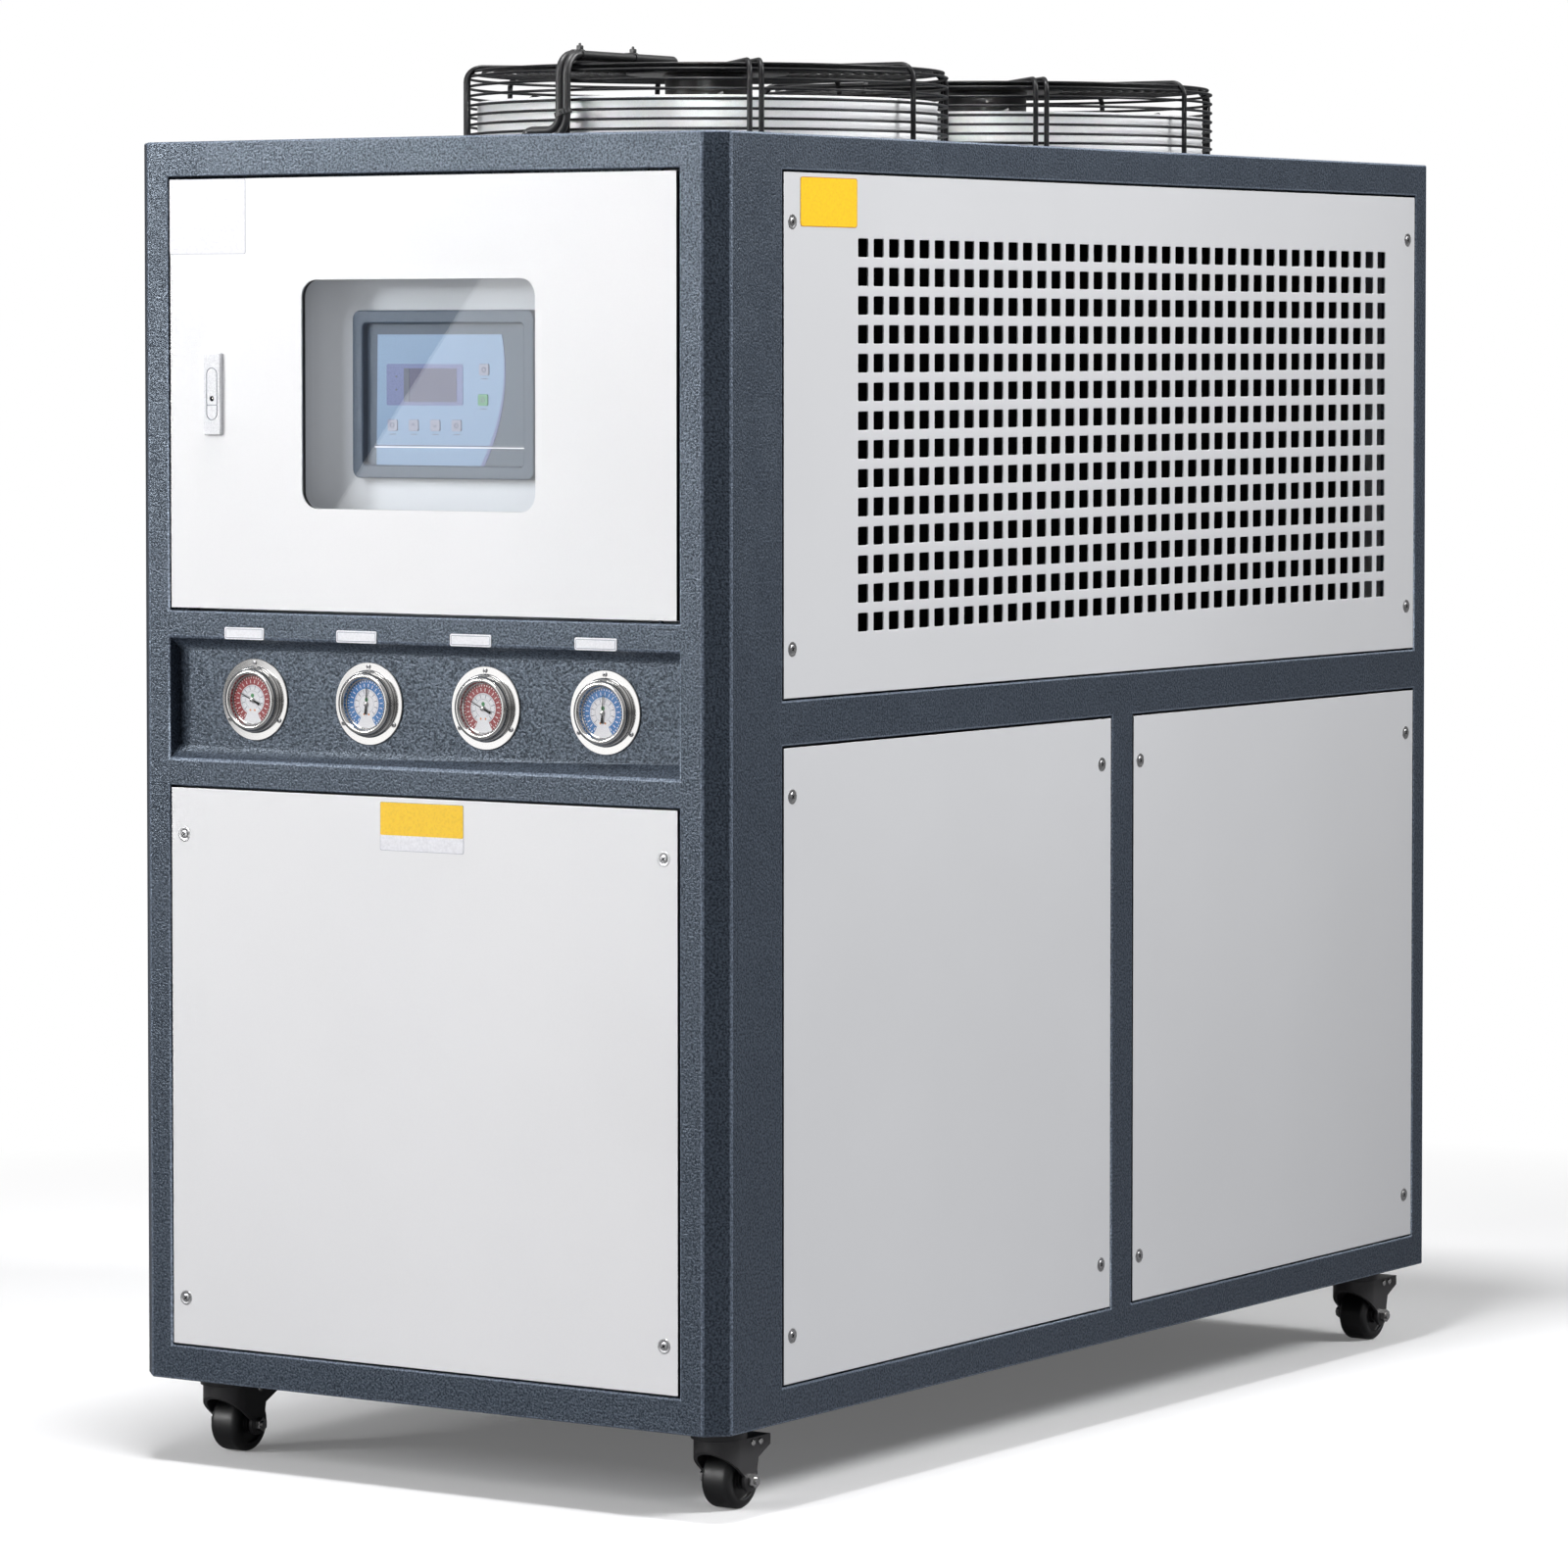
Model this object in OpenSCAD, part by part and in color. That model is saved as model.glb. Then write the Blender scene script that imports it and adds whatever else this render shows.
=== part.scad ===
// Air cooled water chiller on swivel casters.
// A chamfered sheet metal frame carries flush panels, two perforated air inlet sides,
// a hinged control door, a recessed gauge band and two guarded axial fans on the top.
// Millimetres. X is to the right, Y runs from the front to the rear, Z is up from the floor.

/* [Cabinet] */
// Width of the cabinet
cab_w = 772; // [640:1:1000]
// Depth of the cabinet
cab_d = 1572; // [1560:1:1900]
// Height of the cabinet, without casters and fans
cab_h = 1350; // [1345:1:1500]
// Leg of the 45 degree chamfer on the upright corners
corner_c = 22; // [8:1:34]
// Height of the rim round the base
base_rim = 38; // [30:1:60]
// Height of the rim round the top
top_rim = 38; // [30:1:60]
// Width of a corner post on the front and rear faces
post_w = 50.5; // [44:0.5:60]
// Depth of a front post on the side faces
post_front_d = 118; // [80:1:130]
// Depth of a rear post on the side faces
post_rear_d = 50.5; // [44:0.5:60]
// Depth of the folded frame edge that a panel sits in
reveal = 18; // [16:0.5:24]
// Width of the rest behind a panel edge
lip_w = 12; // [8:1:20]
// Sheet thickness of the folded frame
lip_t = 3; // [2:0.5:5]

/* [Panels] */
// Gap between a fixed panel and its opening
panel_gap = 2; // [1:0.5:4]
// Sheet thickness of panels
sheet = 2; // [1:0.5:3]
// Lowest height of the gauge band above the cabinet bottom
band_z = 651; // [600:1:680]
// Height of the gauge band
band_h = 191; // [180:1:220]
// Height of the flat rail above and below the gauge recess
band_rail = 29; // [22:1:40]
// Height that the sloping recess walls take
band_slope = 15; // [5:1:20]
// Lower edge of the side rail above the cabinet bottom
side_rail_z = 711; // [680:1:720]
// Height of the side rail
side_rail_h = 47.5; // [40:0.5:60]
// Centre of the upright divider along the side
divider_y = 32; // [-40:1:100]
// Width of the upright divider
divider_w = 46.5; // [40:0.5:60]

/* [Perforated grille] */
// Rows of holes
hole_rows = 14; // [8:1:20]
// Side of a square hole as a share of the distance from hole to hole
hole_share = 0.642; // [0.3:0.002:0.75]
// Sheet thickness of the grille
grille_sheet = 1.5; // [1:0.5:3]
// Height of the plain border under the holes
field_low = 59.7; // [40:0.1:90]
// Height of the plain border over the holes
field_high = 62.1; // [40:0.1:90]
// Length of the plain border before the holes
field_front = 138; // [40:1:160]
// Least length of the plain border behind the holes
field_rear = 69; // [40:1:160]

/* [Door] */
// Gap all round the door
door_gap = 3; // [2:0.5:5]
// Depth of the folded door pan
door_d = 14; // [10:0.5:15]
// Distance of the hinge axis from the door's right edge
hinge_inset = 24; // [20:1:40]
// Radius of a hinge pin
hinge_pin_r = 3; // [2.5:0.1:4]
// Length of a hinge pin
hinge_pin_l = 24; // [15:1:40]
// Running gap round pins and shafts
pin_gap = 0.3; // [0.2:0.05:0.5]
// Width of the window opening
window_w = 307; // [240:1:360]
// Height of the window opening
window_h = 245; // [200:1:280]
// Corner radius of the window opening
window_r = 19; // [5:1:30]
// Overlap of the pane behind the opening
pane_lap = 12; // [8:1:20]
// Thickness of the pane
pane_t = 4; // [3:0.5:6]
// Thickness of the rubber seal between the door sheet and the pane
seal_t = 4.5; // [2:0.5:6]
// Width of the latch plate
latch_w = 23; // [20:1:30]
// Height of the latch plate
latch_h = 89; // [70:1:100]
// How far the latch plate stands out from the door
latch_t = 5; // [3:0.5:8]
// Distance of the latch's middle from the door's left edge
latch_in = 60.5; // [40:0.5:90]
// Plain length of the latch plate above and below its lever
latch_end = 16; // [10:0.5:22]
// Width of the groove round the lever
latch_groove = 1; // [0.5:0.1:2]
// Radius of the key hole
key_r = 3; // [2:0.1:4]
// Depth of the latch body behind the door face
latch_body_d = 26; // [20:1:30]

/* [Controller] */
// Width of the controller bezel
ctrl_w = 240; // [200:1:260]
// Height of the controller bezel
ctrl_h = 180; // [150:1:200]
// Border of the bezel
ctrl_rim = 14; // [8:1:20]
// Corner radius of the bezel
ctrl_r = 10; // [4:0.5:16]
// Depth of the bezel
ctrl_d = 15; // [12:1:20]
// Depth of the sunk face in the bezel
ctrl_sink = 8; // [4:0.5:10]
// Thickness of the keypad face
ctrl_face_t = 2; // [1:0.5:3]
// Distance of the control box behind the front face
niche_d = 60; // [56:1:80]
// Front to rear size of the control box
ctrl_box_d = 126; // [80:1:140]
// Height of the control box's underside above the lower edge of the gauge band
ctrl_box_up = 36; // [20:1:60]

/* [Gauges] */
// Distance from gauge to gauge
gauge_pitch = 154; // [130:1:160]
// Radius of the gauge flange
gauge_flange_r = 44.5; // [40:0.5:46]
// Thickness of the gauge flange
gauge_flange_t = 2; // [1:0.5:3]
// Radius of the gauge bezel
gauge_bezel_r = 34; // [31:0.5:37]
// How far the bezel stands out from the flange
gauge_bezel_d = 11; // [8:0.5:13]
// Radius of the opening in the bezel
gauge_open_r = 27; // [24:0.5:29]
// Radius of the gauge case behind the panel
gauge_case_r = 30; // [26:0.5:31]
// Depth of the gauge case behind the panel
gauge_case_d = 34; // [25:1:36]
// Clearance between a gauge case and its hole
gauge_gap = 1; // [0.5:0.5:2]

/* [Fans] */
// Front fan centre behind the cabinet front
fan_y = 550; // [540:1:560]
// Distance between the fan centres
fan_pitch = 600; // [580:1:640]
// Inner radius of the fan shroud
shroud_r = 256; // [240:1:258]
// Wall of the fan shroud
shroud_t = 3; // [2:0.5:4]
// Height of the fan shroud above the cabinet
shroud_h = 52; // [48:1:56]
// Width of the shroud's foot flange
shroud_foot = 14; // [8:1:14]
// Outer radius of the wire guard
guard_r = 271.5; // [268:0.5:276]
// Thickness of a guard ring wire
ring_t = 3.2; // [2.4:0.2:4]
// Diameter of a guard rib
rib_t = 6; // [5:0.5:8]
// Bend radius of a guard rib
rib_bend = 16; // [12:1:24]
// Depth that the guard's wires are welded into each other
weld = 0.6; // [0.4:0.1:1]
// Length of the foot under a double rib
rib_foot = 16; // [12:1:24]
// Height of the guard's top rings above the cabinet
guard_h = 84; // [80:1:90]
// Rings on the guard's side
side_rings = 7; // [5:1:8]
// Height of the lowest side ring above the cabinet
ring_low = 15; // [12:1:18]
// Distance between side rings
ring_pitch = 10.8; // [9:0.1:11]
// Rings on the guard's top
top_rings = 13; // [8:1:14]
// Distance between top rings
top_pitch = 13; // [11:0.5:13]
// Distance between the two bars of a double rib
twin_gap = 13; // [10:0.5:20]
// Radius of the motor plate under the guard
motor_plate_r = 92; // [80:1:95]
// Radius of the fixed motor body
motor_r = 48; // [40:1:60]
// Radius of the rotor hub
hub_r = 62; // [50:1:75]
// Height of the rotor hub
hub_h = 36; // [30:1:40]
// Underside of the rotor hub above the cabinet
hub_z = 6; // [4:1:10]
// Fan blades on a rotor
blades = 5; // [4:1:7]
// Tip radius of the blades
blade_r = 246; // [225:1:248]
// Chord of a blade at its tip
blade_tip = 170; // [120:1:180]
// Chord of a blade at its root
blade_root = 80; // [50:1:90]
// Pitch angle of a blade
blade_angle = 20; // [15:1:24]
// Thickness of a blade
blade_t = 3; // [2:0.5:4]
// Radius that the blades are curved to
blade_camber = 240; // [180:5:600]
// Middle of a blade above the underside of the hub
blade_up = 7; // [4:1:16]
// Radius of the motor shaft
shaft_r = 9; // [6:0.5:12]

/* [Fan cable] */
// Radius of one cable
cable_r = 4.5; // [3:0.5:6]
// Gap between two cables
cable_gap = 0.5; // [0.4:0.1:1]
// Clearance of a cable from what it runs along
cable_clear = 0.3; // [0.2:0.1:1]
// Inner bend radius of the cable pair over the roof
cable_bend = 16; // [12:1:30]
// Length of the cable pair along the roof
cable_foot = 22; // [10:1:60]

/* [Casters] */
// Height of a caster
caster_h = 92; // [88:1:120]
// Caster swivel axis from the side of the cabinet
caster_in_x = 59; // [50:1:120]
// Caster swivel axis from the front and the rear of the cabinet
caster_in_y = 86; // [70:1:160]
// Distance from the swivel axis to the wheel axle
caster_trail = 20; // [14:1:24]
// Radius of a wheel
wheel_r = 31; // [26:0.5:32]
// Width of a wheel
wheel_w = 36; // [28:1:38]
// Rounding of the wheel's tread edge
wheel_round = 7; // [3:0.5:9]
// Radius of the wheel axle
axle_r = 4; // [3:0.25:5]
// Gap between a wheel and the fork
fork_gap = 5; // [3:0.5:6]
// Sheet thickness of the fork
fork_t = 4; // [2:0.5:5]
// Height of the fork's skirt at its front
skirt_h = 11; // [8:0.5:16]
// Length of the fork behind the swivel axis
fork_l = 57; // [40:1:60]
// Radius of the bearing race over the fork
race_r = 30; // [24:1:36]
// Height of the bearing race
race_h = 11; // [8:0.5:16]
// Half length of a caster plate
plate_l = 46; // [42:1:55]
// Half width of a caster plate
plate_w = 38; // [34:1:45]
// Thickness of a caster plate
plate_t = 5; // [3:0.5:8]

/* [Water ports] */
// Radius of the threaded water port
port_r = 21; // [15:0.5:26]
// Radius of the port's collar
port_collar_r = 38; // [32:1:45]
// Wall of the port pipe
port_wall = 6; // [4:0.5:8]
// Depth of the port thread
port_depth = 36; // [20:1:45]
// Distance of each water port from the middle
port_x = 120; // [80:1:200]
// Height of the water ports above the cabinet bottom
port_z = 150; // [100:1:300]

/* [Inside] */
// Distance of the closed machine block from the cabinet sides
block_in = 45; // [30:1:60]
// Thickness of a condenser coil over its fins
coil_t = 24; // [16:1:80]
// Thickness of the tube row between the fins
coil_core = 10; // [6:1:14]
// Main fins of a coil
coil_fins = 19; // [8:1:40]
// Thickness of a main fin
coil_fin_t = 2; // [1:0.5:4]
// Distance of the coil's outer face from the cabinet side
coil_in = 32; // [28:1:60]
// Gap between the coil and the top plate
coil_top_gap = 6; // [2:1:20]

/* [Hidden] */
$fn = 64;
half_w = cab_w / 2;
half_d = cab_d / 2;
open_x = half_w - post_w;
open_y0 = -half_d + post_front_d;
open_y1 = half_d - post_rear_d;
open_top = cab_h - top_rim;
back = reveal + lip_t;
band_top = band_z + band_h;
side_rail_top = side_rail_z + side_rail_h;
rest_x = open_x - lip_w;
rest_y0 = open_y0 + lip_w;
rest_y1 = open_y1 - lip_w;
divider_y0 = divider_y - divider_w / 2;
divider_y1 = divider_y + divider_w / 2;
gauge_z = band_z + band_h / 2;
gauge_xs = [for (i = [0 : 3]) (i - 1.5) * gauge_pitch];
door_x = open_x - door_gap;
door_z0 = band_top + door_gap;
door_z1 = open_top - door_gap;
hinge_x = door_x - hinge_inset;
hinge_y = -half_d + door_d / 2;
knuckle_w = 8 * hinge_pin_r - 8;
latch_x = door_x - latch_in;
window_z = (door_z0 + door_z1) / 2;
latch_z = window_z;
lever_w = latch_w - 8;
lever_h = latch_h - 2 * latch_end;
fan_ys = [-half_d + fan_y, -half_d + fan_y + fan_pitch];
ring_mid = guard_r - ring_t / 2;
rib_r = rib_t / 2;
rib_mid = guard_r - weld + rib_r;
rib_top = guard_h + ring_t - weld;
rib_axis = rib_top + rib_r;
rib_in = motor_plate_r - 14;
motor_plate_t = 3;
blade_z = hub_z + blade_up;
block_top = side_rail_top - 2;
block_front = -half_d + niche_d - 4;
box_front = -half_d + niche_d;
box_rear = box_front + ctrl_box_d;
step_z = band_z + ctrl_box_up;
grille_z0 = side_rail_top + panel_gap;
grille_z1 = open_top - panel_gap;
grille_y0 = open_y0 + panel_gap;
grille_y1 = open_y1 - panel_gap;
hole_pitch = (grille_z1 - grille_z0 - field_low - field_high) / hole_rows;
hole_cols = floor((grille_y1 - grille_y0 - field_front - field_rear) / hole_pitch);
hole_side = hole_pitch * hole_share;
field_y0 = grille_y0 + field_front;
field_z0 = grille_z0 + field_low;
coil_lap = 8;
coil_y0 = field_y0 - coil_lap;
coil_y1 = field_y0 + hole_cols * hole_pitch + coil_lap;
caster_x = half_w - caster_in_x;
caster_y = half_d - caster_in_y;
crown_z = caster_h - plate_t - race_h;
race_gap = 0.5;
pivot_r = 6;
cheek_x = wheel_w / 2 + fork_gap;
pipe_r = port_r + port_wall;
fork_w = cheek_x + fork_t;
boss_r = 3 * axle_r;
cable_turn = rib_bend + rib_r + cable_clear + cable_r;
cable_top = rib_axis - rib_bend + cable_turn;
cable_out = rib_mid - rib_bend + cable_turn;
cable_step = 2 * cable_r + cable_gap;
seat_gap = 0.2;
slope_t = lip_t * sqrt(1 + pow(band_slope / reveal, 2));
lens_z = gauge_flange_t + gauge_bezel_d - 3.5;
dial_z = gauge_flange_t + gauge_bezel_d - 7;
steel = [0.30, 0.33, 0.38];
panel_white = [0.93, 0.93, 0.93];
panel_grey = [0.80, 0.81, 0.82];
black = [0.06, 0.06, 0.07];
zinc = [0.75, 0.76, 0.78];

// Lifts a piece from the cabinet bottom to its height over the floor
module lifted() {
    translate([0, 0, caster_h]) children();
}

// Plan outline of the cabinet with its four chamfers, drawn in by a sheet thickness
module cabinet_plan(inset = 0) {
    x = half_w - inset;
    y = half_d - inset;
    c = corner_c - inset * (2 - sqrt(2));
    polygon([[-x + c, -y], [x - c, -y], [x, -y + c], [x, y - c],
        [x - c, y], [-x + c, y], [-x, y - c], [-x, -y + c]]);
}

// Plan of one folded corner post, its corner at the origin, legs towards -X and +Y
module post_plan(d) {
    t = lip_t;
    k = t * (sqrt(2) - 1);
    polygon([[-post_w - lip_w, reveal], [-post_w, reveal], [-post_w, 0], [-corner_c, 0], [0, corner_c],
        [0, d], [-reveal, d], [-reveal, d + lip_w], [-back, d + lip_w], [-back, d - t],
        [-t, d - t], [-t, corner_c + k], [-corner_c - k, t], [-post_w + t, t], [-post_w + t, back],
        [-post_w - lip_w, back]]);
}

module post(d) {
    translate([half_w, -half_d, base_rim]) linear_extrude(open_top - base_rim) post_plan(d);
}

module front_post_right() {
    color(steel) lifted() difference() {
        post(post_front_d);
        // the hinge edge of the door swings through here
        translate([rest_x - 1, -half_d + reveal - 1, band_top])
            cube([lip_w + 1, lip_t + 2, open_top - band_top + 1]);
    }
}

module front_post_left() {
    color(steel) lifted() mirror([1, 0, 0]) post(post_front_d);
}

module rear_post_right() {
    color(steel) lifted() mirror([0, 1, 0]) post(post_rear_d);
}

module rear_post_left() {
    color(steel) lifted() mirror([1, 0, 0]) mirror([0, 1, 0]) post(post_rear_d);
}

// Rests for the panel edges along the front, rear and sides, from z0 to z1
module rests(z0, z1) {
    for (y = [-half_d + reveal, half_d - back])
        translate([-rest_x, y, z0]) cube([2 * rest_x, lip_t, z1 - z0]);
    for (x = [-half_w + reveal, half_w - back])
        translate([x, rest_y0, z0]) cube([lip_t, rest_y1 - rest_y0, z1 - z0]);
}

// Folded rim: an upright skin from z0 to z1 and a ledge at ledge_z under or over the panels
module rim(z0, z1, ledge_z) {
    translate([0, 0, z0]) linear_extrude(z1 - z0) difference() {
        cabinet_plan();
        cabinet_plan(lip_t);
    }
    translate([0, 0, ledge_z]) linear_extrude(lip_t) difference() {
        cabinet_plan();
        square([cab_w - 2 * reveal, cab_d - 2 * reveal], center = true);
    }
}

module base_frame() {
    color(steel) lifted() {
        rim(0, base_rim, base_rim - lip_t);
        linear_extrude(lip_t) cabinet_plan();
        rests(lip_t, base_rim + lip_w);
    }
}

module hinge_pin(z) {
    translate([hinge_x, hinge_y, z]) cylinder(r = hinge_pin_r, h = hinge_pin_l);
}

module top_cover() {
    color(steel) lifted() {
        rim(open_top, cab_h, open_top);
        translate([0, 0, cab_h - lip_t]) linear_extrude(lip_t) difference() {
            cabinet_plan();
            for (y = fan_ys) translate([0, y]) circle(shroud_r);
        }
        difference() {
            rests(open_top - lip_w, cab_h - lip_t);
            translate([hinge_x - hinge_inset, -half_d + reveal - 1, open_top - lip_w - 1])
                cube([3 * hinge_inset, lip_t + 2, lip_w + 1]);
        }
        hinge_pin(open_top - hinge_pin_l);
    }
}

// Section of the folded rail under the gauge recess, with its sloping wall
module band_fold() {
    slope_z = band_z + band_rail + band_slope;
    polygon([[reveal, band_z], [0, band_z], [0, band_z + band_rail], [reveal, slope_z],
        [reveal, slope_z - slope_t], [lip_t, band_z + band_rail + band_slope * lip_t / reveal - slope_t],
        [lip_t, band_z + lip_t], [reveal, band_z + lip_t]]);
}

// Recessed band with sloping walls that holds the gauges
module gauge_panel() {
    color(steel) lifted() {
        difference() {
            union() {
                translate([-open_x, -half_d, 0]) rotate([90, 0, 90]) linear_extrude(2 * open_x) {
                    band_fold();
                    translate([0, band_z + band_top]) mirror([0, 1]) band_fold();
                }
                translate([-rest_x, -half_d + reveal, band_z - lip_w])
                    cube([2 * rest_x, lip_t, band_h + lip_w]);
            }
            for (x = gauge_xs) translate([x, -half_d + reveal - 1, gauge_z]) rotate([-90, 0, 0])
                cylinder(r = gauge_case_r + gauge_gap, h = lip_t + 2);
        }
        hinge_pin(band_top);
    }
}

// Folded rail of length l along X, its face towards -Y and its back open
module rail(l) {
    difference() {
        cube([l, reveal, side_rail_h]);
        translate([-1, lip_t, lip_t]) cube([l + 2, reveal, side_rail_h - 2 * lip_t]);
    }
}

// Rail under the grille and the upright divider between the lower panels, on the right side
module side_rails() {
    translate([half_w, open_y0, side_rail_z]) rotate([0, 0, 90]) rail(open_y1 - open_y0);
    translate([half_w - back, rest_y0, side_rail_z - lip_w])
        cube([lip_t, rest_y1 - rest_y0, side_rail_h + 2 * lip_w]);
    translate([half_w - reveal, divider_y0, base_rim]) difference() {
        cube([reveal, divider_w, side_rail_z - base_rim]);
        translate([-lip_t, lip_t, -1]) cube([reveal, divider_w - 2 * lip_t, side_rail_z - base_rim + 2]);
    }
    translate([half_w - back, divider_y0 - lip_w, base_rim + lip_w])
        cube([lip_t, divider_w + 2 * lip_w, side_rail_z - lip_w - base_rim - lip_w]);
}

module right_rails() {
    color(steel) lifted() side_rails();
}

module left_rails() {
    color(steel) lifted() mirror([1, 0, 0]) side_rails();
}

module rear_rail() {
    color(steel) lifted() {
        translate([open_x, half_d, side_rail_z]) rotate([0, 0, 180]) rail(2 * open_x);
        translate([-rest_x, half_d - back, side_rail_z - lip_w])
            cube([2 * rest_x, lip_t, side_rail_h + 2 * lip_w]);
    }
}

// Folded panel, face towards -Y at y = 0, corners of its outline at (x0, z0) and (x1, z1)
module pan(x0, x1, z0, z1, d) {
    difference() {
        translate([x0, 0, z0]) cube([x1 - x0, d, z1 - z0]);
        translate([x0 + sheet, sheet, z0 + sheet])
            cube([x1 - x0 - 2 * sheet, d, z1 - z0 - 2 * sheet]);
    }
}

module front_lower_panel() {
    color(panel_white) lifted() translate([0, -half_d, 0])
        pan(-open_x + panel_gap, open_x - panel_gap, base_rim + panel_gap, band_z - panel_gap, reveal);
}

// Turns a panel drawn for the front onto the right side
module on_right() {
    translate([half_w, 0, 0]) rotate([0, 0, 90]) children();
}

module lower_panel_front() {
    on_right() pan(open_y0 + panel_gap, divider_y0 - panel_gap, base_rim + panel_gap,
        side_rail_z - panel_gap, reveal);
}

module lower_panel_rear() {
    on_right() pan(divider_y1 + panel_gap, open_y1 - panel_gap, base_rim + panel_gap,
        side_rail_z - panel_gap, reveal);
}

module right_lower_panel_front() {
    color(panel_grey) lifted() lower_panel_front();
}

module right_lower_panel_rear() {
    color(panel_grey) lifted() lower_panel_rear();
}

module left_lower_panel_front() {
    color(panel_grey) lifted() mirror([1, 0, 0]) lower_panel_front();
}

module left_lower_panel_rear() {
    color(panel_grey) lifted() mirror([1, 0, 0]) lower_panel_rear();
}

module rear_upper_panel() {
    color(panel_grey) lifted() translate([0, half_d, 0]) rotate([0, 0, 180])
        pan(-open_x + panel_gap, open_x - panel_gap, side_rail_top + panel_gap, open_top - panel_gap, reveal);
}

module rear_lower_panel() {
    color(panel_grey) lifted() difference() {
        translate([0, half_d, 0]) rotate([0, 0, 180])
            pan(-open_x + panel_gap, open_x - panel_gap, base_rim + panel_gap, side_rail_z - panel_gap, reveal);
        for (x = [-port_x, port_x]) translate([x, half_d - reveal, port_z]) rotate([-90, 0, 0])
            cylinder(r = pipe_r + panel_gap, h = reveal + 1);
    }
}

// Perforated side with a folded edge
module side_grille() {
    y0 = grille_y0;
    y1 = grille_y1;
    z0 = grille_z0;
    z1 = grille_z1;
    on_right() {
        rotate([90, 0, 0]) translate([0, 0, -grille_sheet]) linear_extrude(grille_sheet) difference() {
            translate([y0, z0]) square([y1 - y0, z1 - z0]);
            for (i = [0 : hole_cols - 1], k = [0 : hole_rows - 1])
                translate([field_y0 + (i + 0.5) * hole_pitch, field_z0 + (k + 0.5) * hole_pitch])
                    square(hole_side, center = true);
        }
        difference() {
            translate([y0, grille_sheet, z0]) cube([y1 - y0, reveal - grille_sheet, z1 - z0]);
            translate([y0 + sheet, 0, z0 + sheet])
                cube([y1 - y0 - 2 * sheet, reveal + 1, z1 - z0 - 2 * sheet]);
        }
    }
}

module right_grille() {
    color(panel_grey) lifted() side_grille();
}

module left_grille() {
    color(panel_grey) lifted() mirror([1, 0, 0]) side_grille();
}

// Plan of one coil: the tube row with the main fins across it
module coil_plan() {
    l = coil_y1 - coil_y0;
    translate([-coil_core / 2, coil_y0]) square([coil_core, l]);
    for (i = [0 : coil_fins - 1])
        translate([-coil_t / 2, coil_y0 + i * (l - coil_fin_t) / (coil_fins - 1)]) square([coil_t, coil_fin_t]);
}

module condenser_coils() {
    color(black) lifted() for (s = [-1, 1]) translate([s * (half_w - coil_in - coil_t / 2), 0, block_top])
        linear_extrude(cab_h - lip_t - coil_top_gap - block_top) coil_plan();
}

// Side outline of the closed machine housing, drawn in by t at its front, rear and top
module housing_side(t, low) {
    polygon([[block_front + t, low], [half_d - block_in - t, low], [half_d - block_in - t, block_top - t],
        [box_rear + t, block_top - t], [box_rear + t, step_z - t], [block_front + t, step_z - t]]);
}

// Sheet housing on the base that stands for compressor, tank and pump behind the lower panels
module machine_compartment() {
    w = cab_w - 2 * block_in;
    color(black) lifted() translate([-half_w + block_in, 0, 0]) rotate([90, 0, 90]) difference() {
        linear_extrude(w) housing_side(0, lip_t);
        translate([0, 0, lip_t]) linear_extrude(w - 2 * lip_t) housing_side(lip_t, 0);
    }
}

// Sheet box behind the door, open to the rear
module control_box() {
    w = cab_w - 2 * block_in;
    h = cab_h - lip_t - coil_top_gap - step_z;
    color(zinc) lifted() translate([-half_w + block_in, box_front, step_z]) difference() {
        cube([w, ctrl_box_d, h]);
        translate([sheet, sheet, sheet]) cube([w - 2 * sheet, ctrl_box_d, h - 2 * sheet]);
    }
}

// Places something upright on the control box, its local Z out of the front
module on_box() {
    lifted() translate([0, box_front, window_z]) rotate([90, 0, 0]) children();
}

module controller_bezel() {
    color(steel) on_box() difference() {
        linear_extrude(ctrl_d) rounded_outline(ctrl_w, ctrl_h, ctrl_r);
        translate([0, 0, ctrl_d - ctrl_sink - ctrl_face_t]) linear_extrude(ctrl_d)
            rounded_outline(ctrl_w - 2 * ctrl_rim, ctrl_h - 2 * ctrl_rim, ctrl_r / 2);
    }
}

module controller_face() {
    color([0.62, 0.78, 0.88]) on_box() translate([0, 0, ctrl_d - ctrl_sink - ctrl_face_t])
        linear_extrude(ctrl_face_t) rounded_outline(ctrl_w - 2 * ctrl_rim - 2 * seat_gap,
            ctrl_h - 2 * ctrl_rim - 2 * seat_gap, ctrl_r / 2 - seat_gap);
}

// Places something at each gauge, its axis pointing out of the front
module at_gauges() {
    lifted() for (x = gauge_xs) translate([x, -half_d + reveal, gauge_z]) rotate([90, 0, 0]) children();
}

module gauge_cases() {
    color(zinc) at_gauges() rotate_extrude()
        polygon([[0, -gauge_case_d], [gauge_case_r, -gauge_case_d], [gauge_case_r, 0],
            [gauge_flange_r, 0], [gauge_flange_r, gauge_flange_t], [gauge_bezel_r, gauge_flange_t],
            [gauge_bezel_r, gauge_flange_t + gauge_bezel_d - 2],
            [gauge_bezel_r - 2, gauge_flange_t + gauge_bezel_d],
            [gauge_open_r + 1, gauge_flange_t + gauge_bezel_d], [gauge_open_r, lens_z + 2.5],
            [gauge_open_r, lens_z], [gauge_open_r - 1, lens_z], [gauge_open_r - 1, dial_z - 1.5],
            [0, dial_z - 1.5]]);
}

module gauge_dials() {
    color([0.95, 0.95, 0.95]) at_gauges() translate([0, 0, dial_z - 1.5])
        cylinder(r = gauge_open_r - 1.2, h = 1.5);
}

module gauge_lenses() {
    color([0.85, 0.9, 0.92, 0.4]) at_gauges() translate([0, 0, lens_z]) cylinder(r = gauge_open_r - 0.2, h = 1.5);
}

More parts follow.
